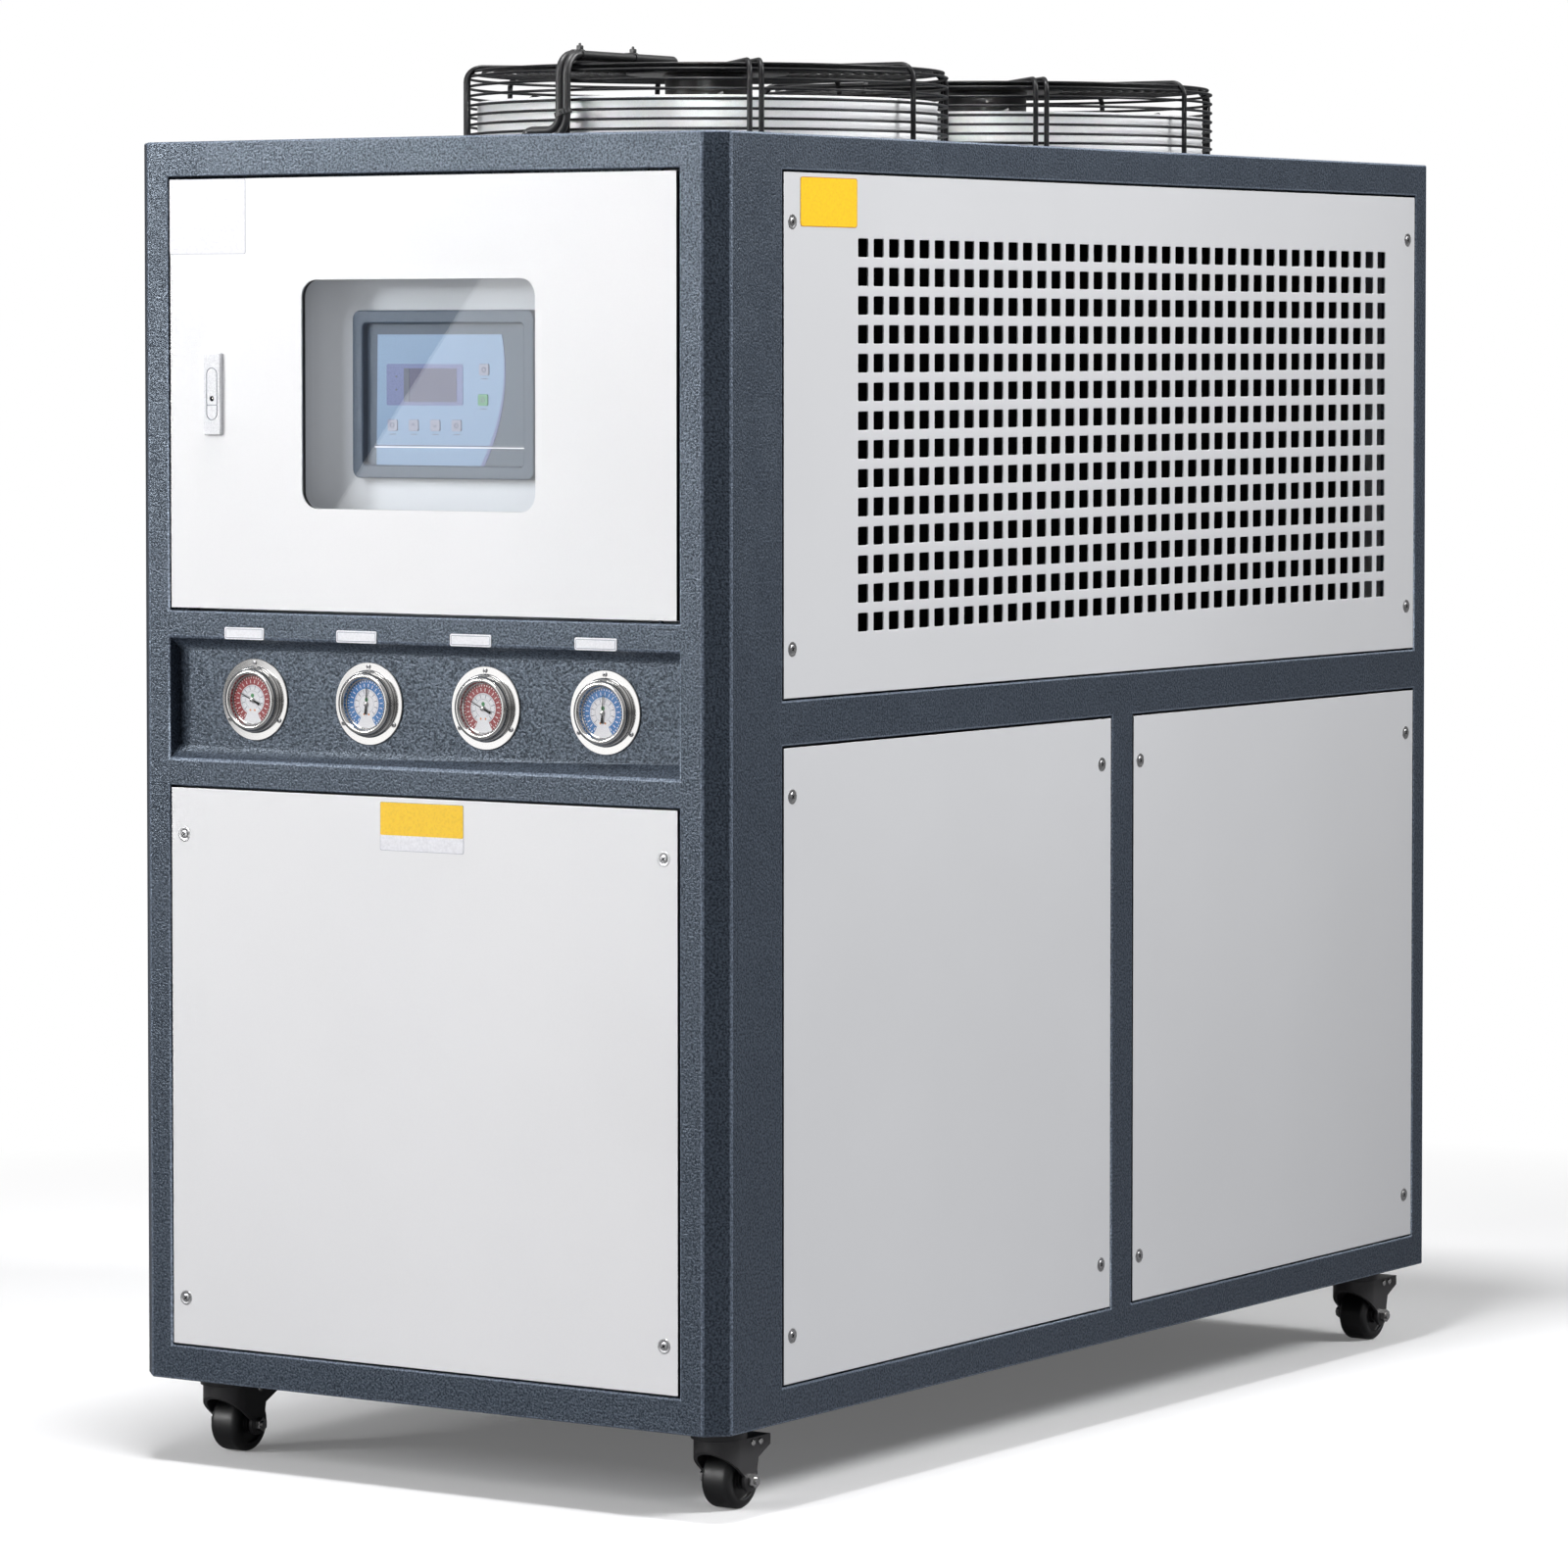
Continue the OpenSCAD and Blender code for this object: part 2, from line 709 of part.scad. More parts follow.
// Places something at a fan, its base on the top of the cabinet
module at_fan(y) {
    lifted() translate([0, y, cab_h]) children();
}

module fan_shrouds() {
    color(zinc) for (y = fan_ys) at_fan(y) rotate_extrude($fn = 96)
        polygon([[shroud_r, 0], [shroud_r + shroud_foot, 0], [shroud_r + shroud_foot, shroud_t],
            [shroud_r + shroud_t, shroud_t], [shroud_r + shroud_t, shroud_h], [shroud_r, shroud_h]]);
}

// A round bar bent to a rib: up the side of the guard and inwards over its top rings
module rib(x) {
    translate([x, rib_mid, 0]) cylinder(r = rib_r, h = rib_axis - rib_bend);
    translate([x, rib_mid - rib_bend, rib_axis - rib_bend]) rotate([90, 0, 90])
        rotate_extrude(angle = 90) translate([rib_bend, 0]) circle(rib_r);
    translate([x, rib_in, rib_axis]) rotate([-90, 0, 0]) cylinder(r = rib_r, h = rib_mid - rib_bend - rib_in);
}

// Two ribs side by side on one foot plate
module twin_rib() {
    for (s = [-1, 1]) rib(s * twin_gap / 2);
    translate([-twin_gap / 2 - rib_t, rib_mid - rib_r, 0]) cube([twin_gap + 2 * rib_t, rib_foot, shroud_t]);
}

module fan_guard(y) {
    color(black) at_fan(y) {
        for (i = [0 : side_rings - 1]) translate([0, 0, ring_low + i * ring_pitch])
            rotate_extrude($fn = 96) translate([guard_r - ring_t, -ring_t / 2]) square(ring_t);
        for (i = [0 : top_rings - 1]) translate([0, 0, guard_h])
            rotate_extrude($fn = 96) translate([guard_r - ring_t - 4 - i * top_pitch, 0]) square(ring_t);
        for (a = [0 : 90 : 270]) rotate(a) rib(0);
        for (a = [45 : 90 : 315]) rotate(a) twin_rib();
    }
}

module fan_guard_front() {
    fan_guard(fan_ys[0]);
}

module fan_guard_rear() {
    fan_guard(fan_ys[1]);
}

// Motor body that hangs from a plate under the inner ends of the ribs
module fan_motors() {
    color(black) for (y = fan_ys) at_fan(y) {
        translate([0, 0, rib_top - motor_plate_t]) cylinder(r = motor_plate_r, h = motor_plate_t);
        translate([0, 0, hub_z + hub_h + 5]) cylinder(r = motor_r, h = rib_top - motor_plate_t - hub_z - hub_h - 4);
        translate([0, 0, hub_z + 6]) cylinder(r = shaft_r, h = hub_h);
    }
}

// Pitched blade, curved from edge to edge, its root sunk in the hub
module blade() {
    translate([0, 0, blade_z]) rotate([0, -blade_angle, 90]) intersection() {
        translate([0, 0, -blade_tip]) linear_extrude(2 * blade_tip)
            polygon([[-blade_root / 2, -hub_r * 0.8], [blade_root / 2, -hub_r * 0.8],
                [blade_tip / 2, -blade_r * 0.8], [blade_tip * 0.32, -blade_r * 0.96],
                [-blade_tip / 2, -blade_r * 0.92]]);
        translate([0, 0, blade_camber]) rotate([90, 0, 0]) difference() {
            cylinder(r = blade_camber + blade_t / 2, h = blade_r);
            translate([0, 0, -1]) cylinder(r = blade_camber - blade_t / 2, h = blade_r + 2);
        }
    }
}

module fan_rotor(y) {
    color(black) at_fan(y) difference() {
        union() {
            translate([0, 0, hub_z]) cylinder(r = hub_r, h = hub_h);
            intersection() {
                for (i = [0 : blades - 1]) rotate(i * 360 / blades) blade();
                translate([0, 0, -blade_tip]) cylinder(r = blade_r, h = 2 * blade_tip);
            }
        }
        translate([0, 0, hub_z + 5]) cylinder(r = shaft_r + pin_gap / 4, h = hub_h);
    }
}

module fan_rotor_front() {
    fan_rotor(fan_ys[0]);
}

module fan_rotor_rear() {
    fan_rotor(fan_ys[1]);
}

// A quarter bend of cable with bend radius r, in the plane of local X and Y
module cable_quarter(r, start) {
    rotate(start) rotate_extrude(angle = 90) translate([r, 0]) circle(cable_r);
}

// A straight length of cable
module cable_length(l) {
    cylinder(r = cable_r, h = l);
}

// Cable pair of the front fan: out of the roof, up the guard, over its front rib and to the motor plate
module fan_cable() {
    end_y = -rib_in + cable_r + 2 * cable_clear;
    color(black) at_fan(fan_ys[0]) for (k = [0, 1]) {
        x = (0.5 - k) * cable_step;
        bend = cable_bend + (1 - k) * cable_step;
        low = cable_r + cable_clear + k * cable_step;
        mid_x = x - bend;
        foot_x = mid_x - cable_foot - k * cable_step;
        translate([foot_x, -cable_out, 0]) cable_length(low);
        translate([foot_x, -cable_out, low]) sphere(cable_r);
        translate([foot_x, -cable_out, low]) rotate([0, 90, 0]) cable_length(mid_x - foot_x);
        translate([mid_x, -cable_out, low + bend]) rotate([90, 0, 0]) cable_quarter(bend, 270);
        translate([x, -cable_out, low + bend]) cable_length(cable_top - cable_turn - low - bend);
        translate([x, -cable_out + cable_turn, cable_top - cable_turn]) rotate([90, 0, 90])
            cable_quarter(cable_turn, 90);
        translate([x, -cable_out + cable_turn, cable_top]) rotate([-90, 0, 0])
            cable_length(end_y + cable_out - cable_turn);
        translate([x, end_y, cable_top]) sphere(cable_r);
        translate([x, end_y, rib_top]) cable_length(cable_top - rib_top);
    }
}

module rounded_outline(w, h, r) {
    union() {
        square([w - 2 * r, h], center = true);
        square([w, h - 2 * r], center = true);
        for (x = [-1, 1], y = [-1, 1]) translate([x * (w / 2 - r), y * (h / 2 - r)]) circle(r);
    }
}

// Knuckle block in a door corner, round the hinge axis
module knuckle(z) {
    translate([hinge_x - knuckle_w / 2, -half_d + sheet, z])
        cube([knuckle_w, door_d - sheet, hinge_pin_l]);
}

module door_panel() {
    color(panel_white) lifted() difference() {
        union() {
            translate([0, -half_d, 0]) pan(-door_x, door_x, door_z0, door_z1, door_d);
            knuckle(door_z0);
            knuckle(door_z1 - hinge_pin_l);
        }
        translate([0, -half_d + sheet + 1, window_z]) rotate([90, 0, 0]) linear_extrude(sheet + 2)
            rounded_outline(window_w, window_h, window_r);
        translate([-latch_x - lever_w / 2 - panel_gap / 2, -half_d - 1, latch_z - lever_h / 2 - panel_gap / 2])
            cube([lever_w + panel_gap, sheet + 2, lever_h + panel_gap]);
        for (z = [door_z0 - 1, door_z1 - hinge_pin_l - 1]) translate([hinge_x, hinge_y, z])
            cylinder(r = hinge_pin_r + pin_gap, h = hinge_pin_l + 2);
    }
}

// Outline of the pane, which laps behind the edge of the window opening
module pane_outline() {
    rounded_outline(window_w + 2 * pane_lap, window_h + 2 * pane_lap, window_r + pane_lap);
}

// Places something in the door opening, d behind the door sheet, its local Z out of the front
module behind_sheet(d) {
    lifted() translate([0, -half_d + sheet + d, window_z]) rotate([90, 0, 0]) children();
}

module window_seal() {
    color(black) behind_sheet(seal_t) linear_extrude(seal_t) difference() {
        pane_outline();
        rounded_outline(window_w, window_h, window_r);
    }
}

module door_window() {
    color([0.8, 0.88, 0.9, 0.35]) behind_sheet(seal_t + pane_t) linear_extrude(pane_t) pane_outline();
}

// Flush lever latch: plate, groove round the lever and its push button, key hole and a body behind the door
module door_latch() {
    groove_d = latch_t / 3;
    button_h = lever_h * 0.28;
    color(panel_white) lifted() translate([-latch_x, -half_d, latch_z]) rotate([90, 0, 0]) {
        difference() {
            linear_extrude(latch_t) rounded_outline(latch_w, latch_h, latch_groove * 2);
            translate([0, 0, latch_t - groove_d]) linear_extrude(latch_t) {
                difference() {
                    rounded_outline(lever_w, lever_h, lever_w * 0.499);
                    rounded_outline(lever_w - 2 * latch_groove, lever_h - 2 * latch_groove, lever_w * 0.499 - latch_groove);
                }
                translate([-lever_w / 2 + latch_groove / 2, -lever_h / 2 + button_h])
                    square([lever_w - latch_groove, latch_groove]);
                translate([0, -lever_h * 0.09]) circle(key_r);
            }
        }
        translate([-lever_w / 2, -lever_h / 2, -latch_body_d]) cube([lever_w, lever_h, latch_body_d]);
    }
}

// Places something at one caster's swivel axis, on the floor
module at_caster(sx, sy) {
    translate([sx * caster_x, sy * caster_y, 0]) children();
}

module caster_plates() {
    head_h = fork_t - race_gap;
    color(zinc) for (sx = [-1, 1], sy = [-1, 1]) at_caster(sx, sy) {
        translate([-plate_w, -plate_l, caster_h - plate_t]) cube([2 * plate_w, 2 * plate_l, plate_t]);
        translate([0, 0, crown_z + race_gap]) cylinder(r = race_r, h = race_h - race_gap);
        translate([0, 0, crown_z - fork_t - race_gap]) cylinder(r = pivot_r, h = fork_t + 2 * race_gap);
        translate([0, 0, crown_z - fork_t - race_gap - head_h]) cylinder(r = pivot_r * 1.6, h = head_h);
    }
}

// Plan of the fork: a round front with straight cheeks behind it, drawn in by t
module fork_plan(t) {
    union() {
        circle(fork_w - t);
        translate([-fork_w + t, 0]) square([2 * (fork_w - t), fork_l]);
    }
}

// Side outline of the fork: short skirt at the front, cheeks that narrow down to the axle
module fork_side() {
    union() {
        polygon([[-fork_w, crown_z], [-fork_w, crown_z - skirt_h], [caster_trail - boss_r * 0.9, wheel_r + boss_r * 0.45],
            [caster_trail + boss_r * 0.9, wheel_r + boss_r * 0.45], [caster_trail + boss_r * 1.2, crown_z - 2 * skirt_h],
            [fork_l, crown_z - skirt_h], [fork_l, crown_z]]);
        translate([caster_trail, wheel_r]) circle(boss_r);
    }
}

// Pressed fork with a round crown, a front skirt, two cheeks and the axle with its nuts
module caster_fork(sx, sy) {
    nut_h = 1.7 * axle_r;
    color(black) at_caster(sx, sy) {
        intersection() {
            difference() {
                translate([0, 0, wheel_r - boss_r]) linear_extrude(crown_z - wheel_r + boss_r) fork_plan(0);
                translate([0, 0, wheel_r - boss_r - 1]) linear_extrude(crown_z - wheel_r + boss_r + 1 - fork_t) {
                    fork_plan(fork_t);
                    translate([-fork_w + fork_t, fork_t]) square([2 * (fork_w - fork_t), fork_l]);
                }
                translate([0, 0, crown_z - fork_t - 1]) cylinder(r = pivot_r + pin_gap, h = fork_t + 2);
            }
            translate([-fork_w, 0, 0]) rotate([90, 0, 90]) linear_extrude(2 * fork_w) fork_side();
        }
        translate([-fork_w - nut_h - 2, caster_trail, wheel_r]) rotate([0, 90, 0])
            cylinder(r = axle_r, h = 2 * (fork_w + nut_h + 2));
        for (s = [-1, 1]) translate([s * (fork_w + nut_h / 2), caster_trail, wheel_r]) rotate([0, 90, 0])
            cylinder(r = 1.9 * axle_r, h = nut_h, center = true, $fn = 6);
    }
}

module caster_wheel(sx, sy) {
    color(black) at_caster(sx, sy) translate([0, caster_trail, wheel_r]) rotate([0, 90, 0]) rotate_extrude()
        difference() {
            union() {
                translate([0, -wheel_w / 2]) square([wheel_r - wheel_round, wheel_w]);
                translate([0, -wheel_w / 2 + wheel_round]) square([wheel_r, wheel_w - 2 * wheel_round]);
                for (s = [-1, 1]) translate([wheel_r - wheel_round, s * (wheel_w / 2 - wheel_round)]) circle(wheel_round);
            }
            translate([-1, -wheel_w]) square([axle_r + pin_gap + 1, 2 * wheel_w]);
            for (s = [-1, 1]) translate([axle_r + 6, s * wheel_w / 2 - 4]) square([wheel_r - wheel_round - axle_r - 9, 8]);
            translate([-20, -wheel_w]) square([20, 2 * wheel_w]);
        }
}

module caster_fork_fl() {
    caster_fork(-1, -1);
}

module caster_fork_fr() {
    caster_fork(1, -1);
}

module caster_fork_rl() {
    caster_fork(-1, 1);
}

module caster_fork_rr() {
    caster_fork(1, 1);
}

module caster_wheel_fl() {
    caster_wheel(-1, -1);
}

module caster_wheel_fr() {
    caster_wheel(1, -1);
}

module caster_wheel_rl() {
    caster_wheel(-1, 1);
}

module caster_wheel_rr() {
    caster_wheel(1, 1);
}

// Threaded water inlet and outlet on the rear, collar on the panel and pipe to the machine
module water_ports() {
    color(zinc) lifted() for (x = [-port_x, port_x]) translate([x, half_d, port_z]) rotate([90, 0, 0]) difference() {
        union() {
            translate([0, 0, -latch_t]) cylinder(r = port_collar_r, h = latch_t);
            translate([0, 0, -latch_t]) cylinder(r = pipe_r, h = latch_t + block_in);
        }
        translate([0, 0, -latch_t - 1]) cylinder(r = port_r, h = port_depth + 1);
    }
}

front_post_left();
front_post_right();
rear_post_left();
rear_post_right();
base_frame();
top_cover();
gauge_panel();
right_rails();
left_rails();
rear_rail();
front_lower_panel();
right_lower_panel_front();
right_lower_panel_rear();
left_lower_panel_front();
left_lower_panel_rear();
rear_upper_panel();
rear_lower_panel();
right_grille();
left_grille();
condenser_coils();
machine_compartment();
control_box();
controller_bezel();
controller_face();
gauge_cases();
gauge_dials();
gauge_lenses();
fan_shrouds();
fan_guard_front();
fan_guard_rear();
fan_motors();
fan_rotor_front();
fan_rotor_rear();
fan_cable();
door_panel();
window_seal();
door_window();
door_latch();
caster_plates();
caster_fork_fl();
caster_fork_fr();
caster_fork_rl();
caster_fork_rr();
caster_wheel_fl();
caster_wheel_fr();
caster_wheel_rl();
caster_wheel_rr();
water_ports();
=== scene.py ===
import math

import bmesh
import bpy
from mathutils import Matrix, Vector

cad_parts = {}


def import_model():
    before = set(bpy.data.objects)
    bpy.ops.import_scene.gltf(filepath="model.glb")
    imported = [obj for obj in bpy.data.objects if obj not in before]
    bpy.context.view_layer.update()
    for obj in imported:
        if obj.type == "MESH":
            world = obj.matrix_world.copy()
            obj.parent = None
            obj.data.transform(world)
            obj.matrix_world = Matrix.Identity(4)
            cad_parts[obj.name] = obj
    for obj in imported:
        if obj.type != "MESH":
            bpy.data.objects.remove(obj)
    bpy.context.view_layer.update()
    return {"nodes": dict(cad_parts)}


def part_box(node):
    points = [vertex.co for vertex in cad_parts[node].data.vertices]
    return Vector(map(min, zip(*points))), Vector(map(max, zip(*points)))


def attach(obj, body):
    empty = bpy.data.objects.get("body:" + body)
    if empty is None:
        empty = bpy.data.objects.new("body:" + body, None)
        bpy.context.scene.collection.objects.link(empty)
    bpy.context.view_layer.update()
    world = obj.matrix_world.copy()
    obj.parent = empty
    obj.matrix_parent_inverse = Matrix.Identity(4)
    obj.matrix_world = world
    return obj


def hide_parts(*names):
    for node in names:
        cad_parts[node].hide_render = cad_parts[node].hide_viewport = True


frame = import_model()
NODES = frame["nodes"]
SCENE = bpy.context.scene
MM = 0.001


def box(node):
    lo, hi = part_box(node)
    return Vector(lo), Vector(hi)


# Camera: a long lens from the right of the front, a little above the middle
cam_data = bpy.data.cameras.new("camera")
cam = bpy.data.objects.new("camera", cam_data)
SCENE.collection.objects.link(cam)
cam_data.lens = 149.354
cam_data.sensor_width = 36.0
cam_data.shift_y = -0.10
cam_data.clip_end = 200.0
cam.location = (4.1117, -6.3273, 1.2177)
cam.rotation_euler = (math.radians(90 - 2.4503), 0, math.radians(33.348))
SCENE.camera = cam
SCENE.view_settings.view_transform = "Standard"


class V:
    """A shader socket that takes arithmetic."""

    def __init__(self, tree, socket):
        self.tree, self.socket = tree, socket

    def node(self, kind, inputs=None, out=0, **settings):
        n = self.tree.nodes.new(kind)
        for key, value in settings.items():
            setattr(n, key, value)
        for key, value in (inputs or {}).items():
            if isinstance(value, V):
                self.tree.links.new(value.socket, n.inputs[key])
            else:
                n.inputs[key].default_value = value
        return V(self.tree, n.outputs[out])

    def math(self, operation, other=0.0):
        return self.node("ShaderNodeMath", {0: self, 1: other}, operation=operation)

    def __add__(self, other):
        return self.math("ADD", other)

    __radd__ = __add__

    def __sub__(self, other):
        return self.math("SUBTRACT", other)

    def __rsub__(self, other):
        return (self * -1.0) + other

    def __mul__(self, other):
        return self.math("MULTIPLY", other)

    __rmul__ = __mul__

    def __truediv__(self, other):
        return self.math("DIVIDE", other)

    def __pow__(self, other):
        return self.math("POWER", other)

    def above(self, edge, soft=0.001):
        return self.node("ShaderNodeMapRange", {0: self, 1: edge - soft, 2: edge + soft})

    def between(self, low, high, soft=0.001):
        return self.above(low, soft) * (1.0 - self.above(high, soft))

    def ramp(self, low, high, a=0.0, b=1.0):
        return self.node("ShaderNodeMapRange", {0: self, 1: low, 2: high, 3: a, 4: b})

    def either(self, other):
        return self.math("MAXIMUM", other)

    def split(self):
        return [self.node("ShaderNodeSeparateXYZ", {0: self}, out=i) for i in range(3)]

    def noise(self, scale, detail=2.0, rough=0.5):
        return self.node("ShaderNodeTexNoise",
                         {"Vector": self, "Scale": scale, "Detail": detail, "Roughness": rough})

    def mix(self, a, b):
        """Colour a where this is 0 and b where it is 1."""
        ins = {0: self}
        for key, value in ((6, a), (7, b)):
            ins[key] = value if isinstance(value, V) else (*value, 1.0)
        return self.node("ShaderNodeMix", ins, out=2, data_type="RGBA")

    def bump(self, strength, distance):
        return self.node("ShaderNodeBump", {"Height": self, "Strength": strength, "Distance": distance})


def srgb(r, g, b):
    return tuple(((c / 255 + 0.055) / 1.055) ** 2.4 if c > 10 else c / 255 / 12.92 for c in (r, g, b))


def tone(colour, k):
    return tuple(c * k for c in colour)


def material(name, build, uv=False, **fixed):
    """A principled material: build gets the coordinates and returns its varying sockets."""
    mat = bpy.data.materials.new(name)
    mat.use_nodes = True
    tree = mat.node_tree
    shader = tree.nodes["Principled BSDF"]
    where = tree.nodes.new("ShaderNodeTexCoord").outputs["UV" if uv else "Object"]
    for key, value in fixed.items():
        shader.inputs[key.replace("_", " ")].default_value = value
    for key, value in build(V(tree, where)).items():
        tree.links.new(value.socket, shader.inputs[key.replace("_", " ")])
    return mat


def pebble_coat(name, colour):
    """Pebbled powder coat: its grains are glossier than the hollows between them, and its base colour is
    darker in the hollows as painted shade and paler on the grains as painted highlight.
    """
    mat = bpy.data.materials.new(name)
    mat.use_nodes = True
    tree = mat.node_tree
    tree.nodes.clear()
    p = V(tree, tree.nodes.new("ShaderNodeTexCoord").outputs["Object"])
    relief = p.noise(420.0, 1.0, 0.5)
    shared = {"IOR": 1.62, "Specular Tint": (0.74, 0.86, 1.0, 1.0), "Normal": relief.bump(1.0, 0.0006),
              "Roughness": p.noise(30.0).ramp(0.3, 0.7, 0.36, 0.44)}

    def coat(shade, gloss):
        return p.node("ShaderNodeBsdfPrincipled",
                      {"Base Color": (*tone(colour, shade), 1.0), "Specular IOR Level": gloss, **shared})

    # base colour follows the relief: painted shade in the hollows, painted highlight on the grains
    shaded_hollows_lit_grains = {0: relief.ramp(0.34, 0.66), 1: coat(0.55, 0.28), 2: coat(1.30, 0.88)}
    both = p.node("ShaderNodeMixShader", shaded_hollows_lit_grains)
    tree.links.new(both.socket, tree.nodes.new("ShaderNodeOutputMaterial").inputs["Surface"])
    return mat


def smooth_paint(p, colour, sand):
    """Fine powder coat with a faint sandy grain and soft clouding."""
    cloud = p.noise(3.0, 3.0).ramp(0.3, 0.7)
    grit = p.noise(1100.0, 1.0)
    return {"Base_Color": (cloud * 0.5 + grit * 0.5).ramp(0.3, 0.7).mix(tone(colour, 0.965), colour),
            "Roughness": grit.ramp(0.2, 0.8, 0.38, 0.48),
            "Normal": grit.bump(sand, 0.0003)}


def metal(p, colour, rough, scale=300.0):
    wear = p.noise(scale, 3.0)
    return {"Base_Color": wear.ramp(0.3, 0.7).mix(tone(colour, 0.9), colour),
            "Roughness": wear.ramp(0.2, 0.8, rough * 0.75, rough * 1.25)}


def plastic(p, colour, rough, scale=600.0, bump=0.05):
    grain = p.noise(scale, 2.0)
    return {"Base_Color": grain.ramp(0.3, 0.7).mix(tone(colour, 0.92), tone(colour, 1.06)),
            "Roughness": grain.ramp(0.2, 0.8, rough * 0.85, rough * 1.15),
            "Normal": grain.bump(bump, 0.0003)}


def dial_print(p, colour):
    """Pressure dial: coloured outer band open at the foot, pale middle with tick rings and dots."""
    x, y, _ = p.split()
    r = (x * x + y * y) ** 0.5
    turn = x.math("ARCTAN2", y) / math.pi
    swept = 1.0 - turn.math("ABSOLUTE").above(0.85, 0.004)

    def ticks(count, share, low, high):
        wave = (turn * (count / 2)).math("FRACT")
        return wave.between(0.5 - share / 2, 0.5 + share / 2, 0.02) * r.between(low, high, 0.01) * swept

    def dot(base, at_x, at_y, size, ink):
        away = ((x - at_x) * (x - at_x) + (y - at_y) * (y - at_y)) ** 0.5
        return away.above(size, 0.012).mix(ink, base)

    band = r.between(0.63, 1.2, 0.012) * swept
    speck = p.noise(26.0, 1.0).ramp(0.4, 0.7)
    base = band.mix(srgb(226, 226, 230), speck.mix(tone(colour, 0.8), tone(colour, 1.25)))
    marks = ticks(46, 0.34, 0.90, 0.97).either(ticks(23, 0.18, 0.70, 0.84)) * 0.75
    base = marks.mix(base, srgb(244, 240, 240))
    scale = ticks(60, 0.30, 0.55, 0.61).either(ticks(12, 0.12, 0.42, 0.61)).either(ticks(40, 0.4, 0.36, 0.39))
    base = (scale * 0.85).mix(base, srgb(70, 80, 104))
    base = dot(base, 0.0, 0.18, 0.085, srgb(16, 128, 58))
    base = dot(base, -0.12, -0.43, 0.045, srgb(214, 128, 40))
    base = dot(base, 0.12, -0.43, 0.045, srgb(214, 128, 40))
    return {"Base_Color": base}


M = {
    "frame": pebble_coat("frame_paint", srgb(45, 53, 65)),
    # paler copy of the frame coat for its rounded edges: painted highlight along them
    "frame_edge_highlight": pebble_coat("frame_edge_highlight", srgb(96, 106, 121)),
    "white": material("panel_white", lambda p: smooth_paint(p, srgb(240, 240, 242), 0.05)),
    "grey": material("panel_grey", lambda p: smooth_paint(p, srgb(214, 215, 218), 0.10)),
    "black": material("black_metal", lambda p: plastic(p, (0.010, 0.010, 0.012), 0.34, 500.0, 0.08)),
    "wire": material("wire_black", lambda p: plastic(p, (0.006, 0.006, 0.007), 0.36),
                     Specular_IOR_Level=0.25),
    # near-black: the needles' own black, and painted shade on screw crosses, the keyhole and the machine
    # compartment
    "dark": material("inner_black", lambda p: plastic(p, (0.004, 0.004, 0.005), 0.8), Specular_IOR_Level=0.1),
    # near-black fins: painted shade behind the grilles
    "fin": material("coil_fin_painted_shade", lambda p: plastic(p, (0.004, 0.004, 0.0045), 0.8), Specular_IOR_Level=0.1),
    "niche": material("niche_grey", lambda p: smooth_paint(p, srgb(214, 216, 221), 0.05)),
    "bezel": material("bezel_grey", lambda p: plastic(p, srgb(66, 80, 98), 0.45)),
    "chrome": material("polished_steel", lambda p: metal(p, (0.53, 0.525, 0.52), 0.13, 900.0), Metallic=1.0),
    "zinc": material("shroud_zinc", lambda p: metal(p, (0.90, 0.90, 0.91), 0.36, 900.0), Metallic=0.05),
    "screw": material("screw_steel", lambda p: metal(p, (0.46, 0.46, 0.47), 0.30, 900.0), Metallic=1.0),
    "fork": material("fork_black", lambda p: plastic(p, (0.040, 0.039, 0.041), 0.38, 500.0, 0.06)),
    # near-black: the own rubber of the cable, ties and window seal, and painted shade on panel and grille
    # rims in the gaps
    "rubber": material("cable_black", lambda p: plastic(p, (0.010, 0.010, 0.011), 0.42)),
    "tread": material("wheel_black", lambda p: plastic(p, (0.012, 0.012, 0.013), 0.40, 200.0)),
    "latch": material("latch_white", lambda p: plastic(p, srgb(228, 229, 233), 0.28, 700.0, 0.02)),
    "brass": material("port_brass", lambda p: metal(p, (0.70, 0.52, 0.26), 0.28), Metallic=1.0),
    "red": material("dial_red", lambda p: dial_print(p, srgb(140, 8, 22)), uv=True, Roughness=0.4),
    "blue": material("dial_blue", lambda p: dial_print(p, srgb(0, 104, 172)), uv=True, Roughness=0.4),
    "pad": material("keypad_blue", lambda p: plastic(p, srgb(116, 144, 176), 0.32, 900.0, 0.02)),
    "lilac": material("keypad_lilac", lambda p: plastic(p, srgb(98, 108, 152), 0.3, 900.0, 0.02)),
    "lcd": material("keypad_lcd", lambda p: plastic(p, srgb(100, 100, 122), 0.15, 900.0, 0.01)),
    "key": material("keypad_key", lambda p: plastic(p, srgb(138, 140, 160), 0.35, 900.0, 0.02)),
    "green": material("keypad_green", lambda p: plastic(p, srgb(78, 142, 102), 0.35, 900.0, 0.02)),
    "ink": material("key_mark", lambda p: plastic(p, srgb(86, 92, 110), 0.4)),
    "yellow": material("label_yellow", lambda p: plastic(p, srgb(255, 206, 22), 0.4, 400.0, 0.01)),
    "orange": material("label_rim", lambda p: plastic(p, srgb(196, 120, 24), 0.4, 400.0, 0.01)),
    "paper": material("label_white", lambda p: plastic(p, srgb(238, 238, 243), 0.42, 400.0, 0.01)),
    # grey: printed lines on the gauge plates, and painted shade on the white label rims and the latch groove
    "edge": material("grey_print_and_shade", lambda p: plastic(p, srgb(160, 164, 176), 0.4)),
}


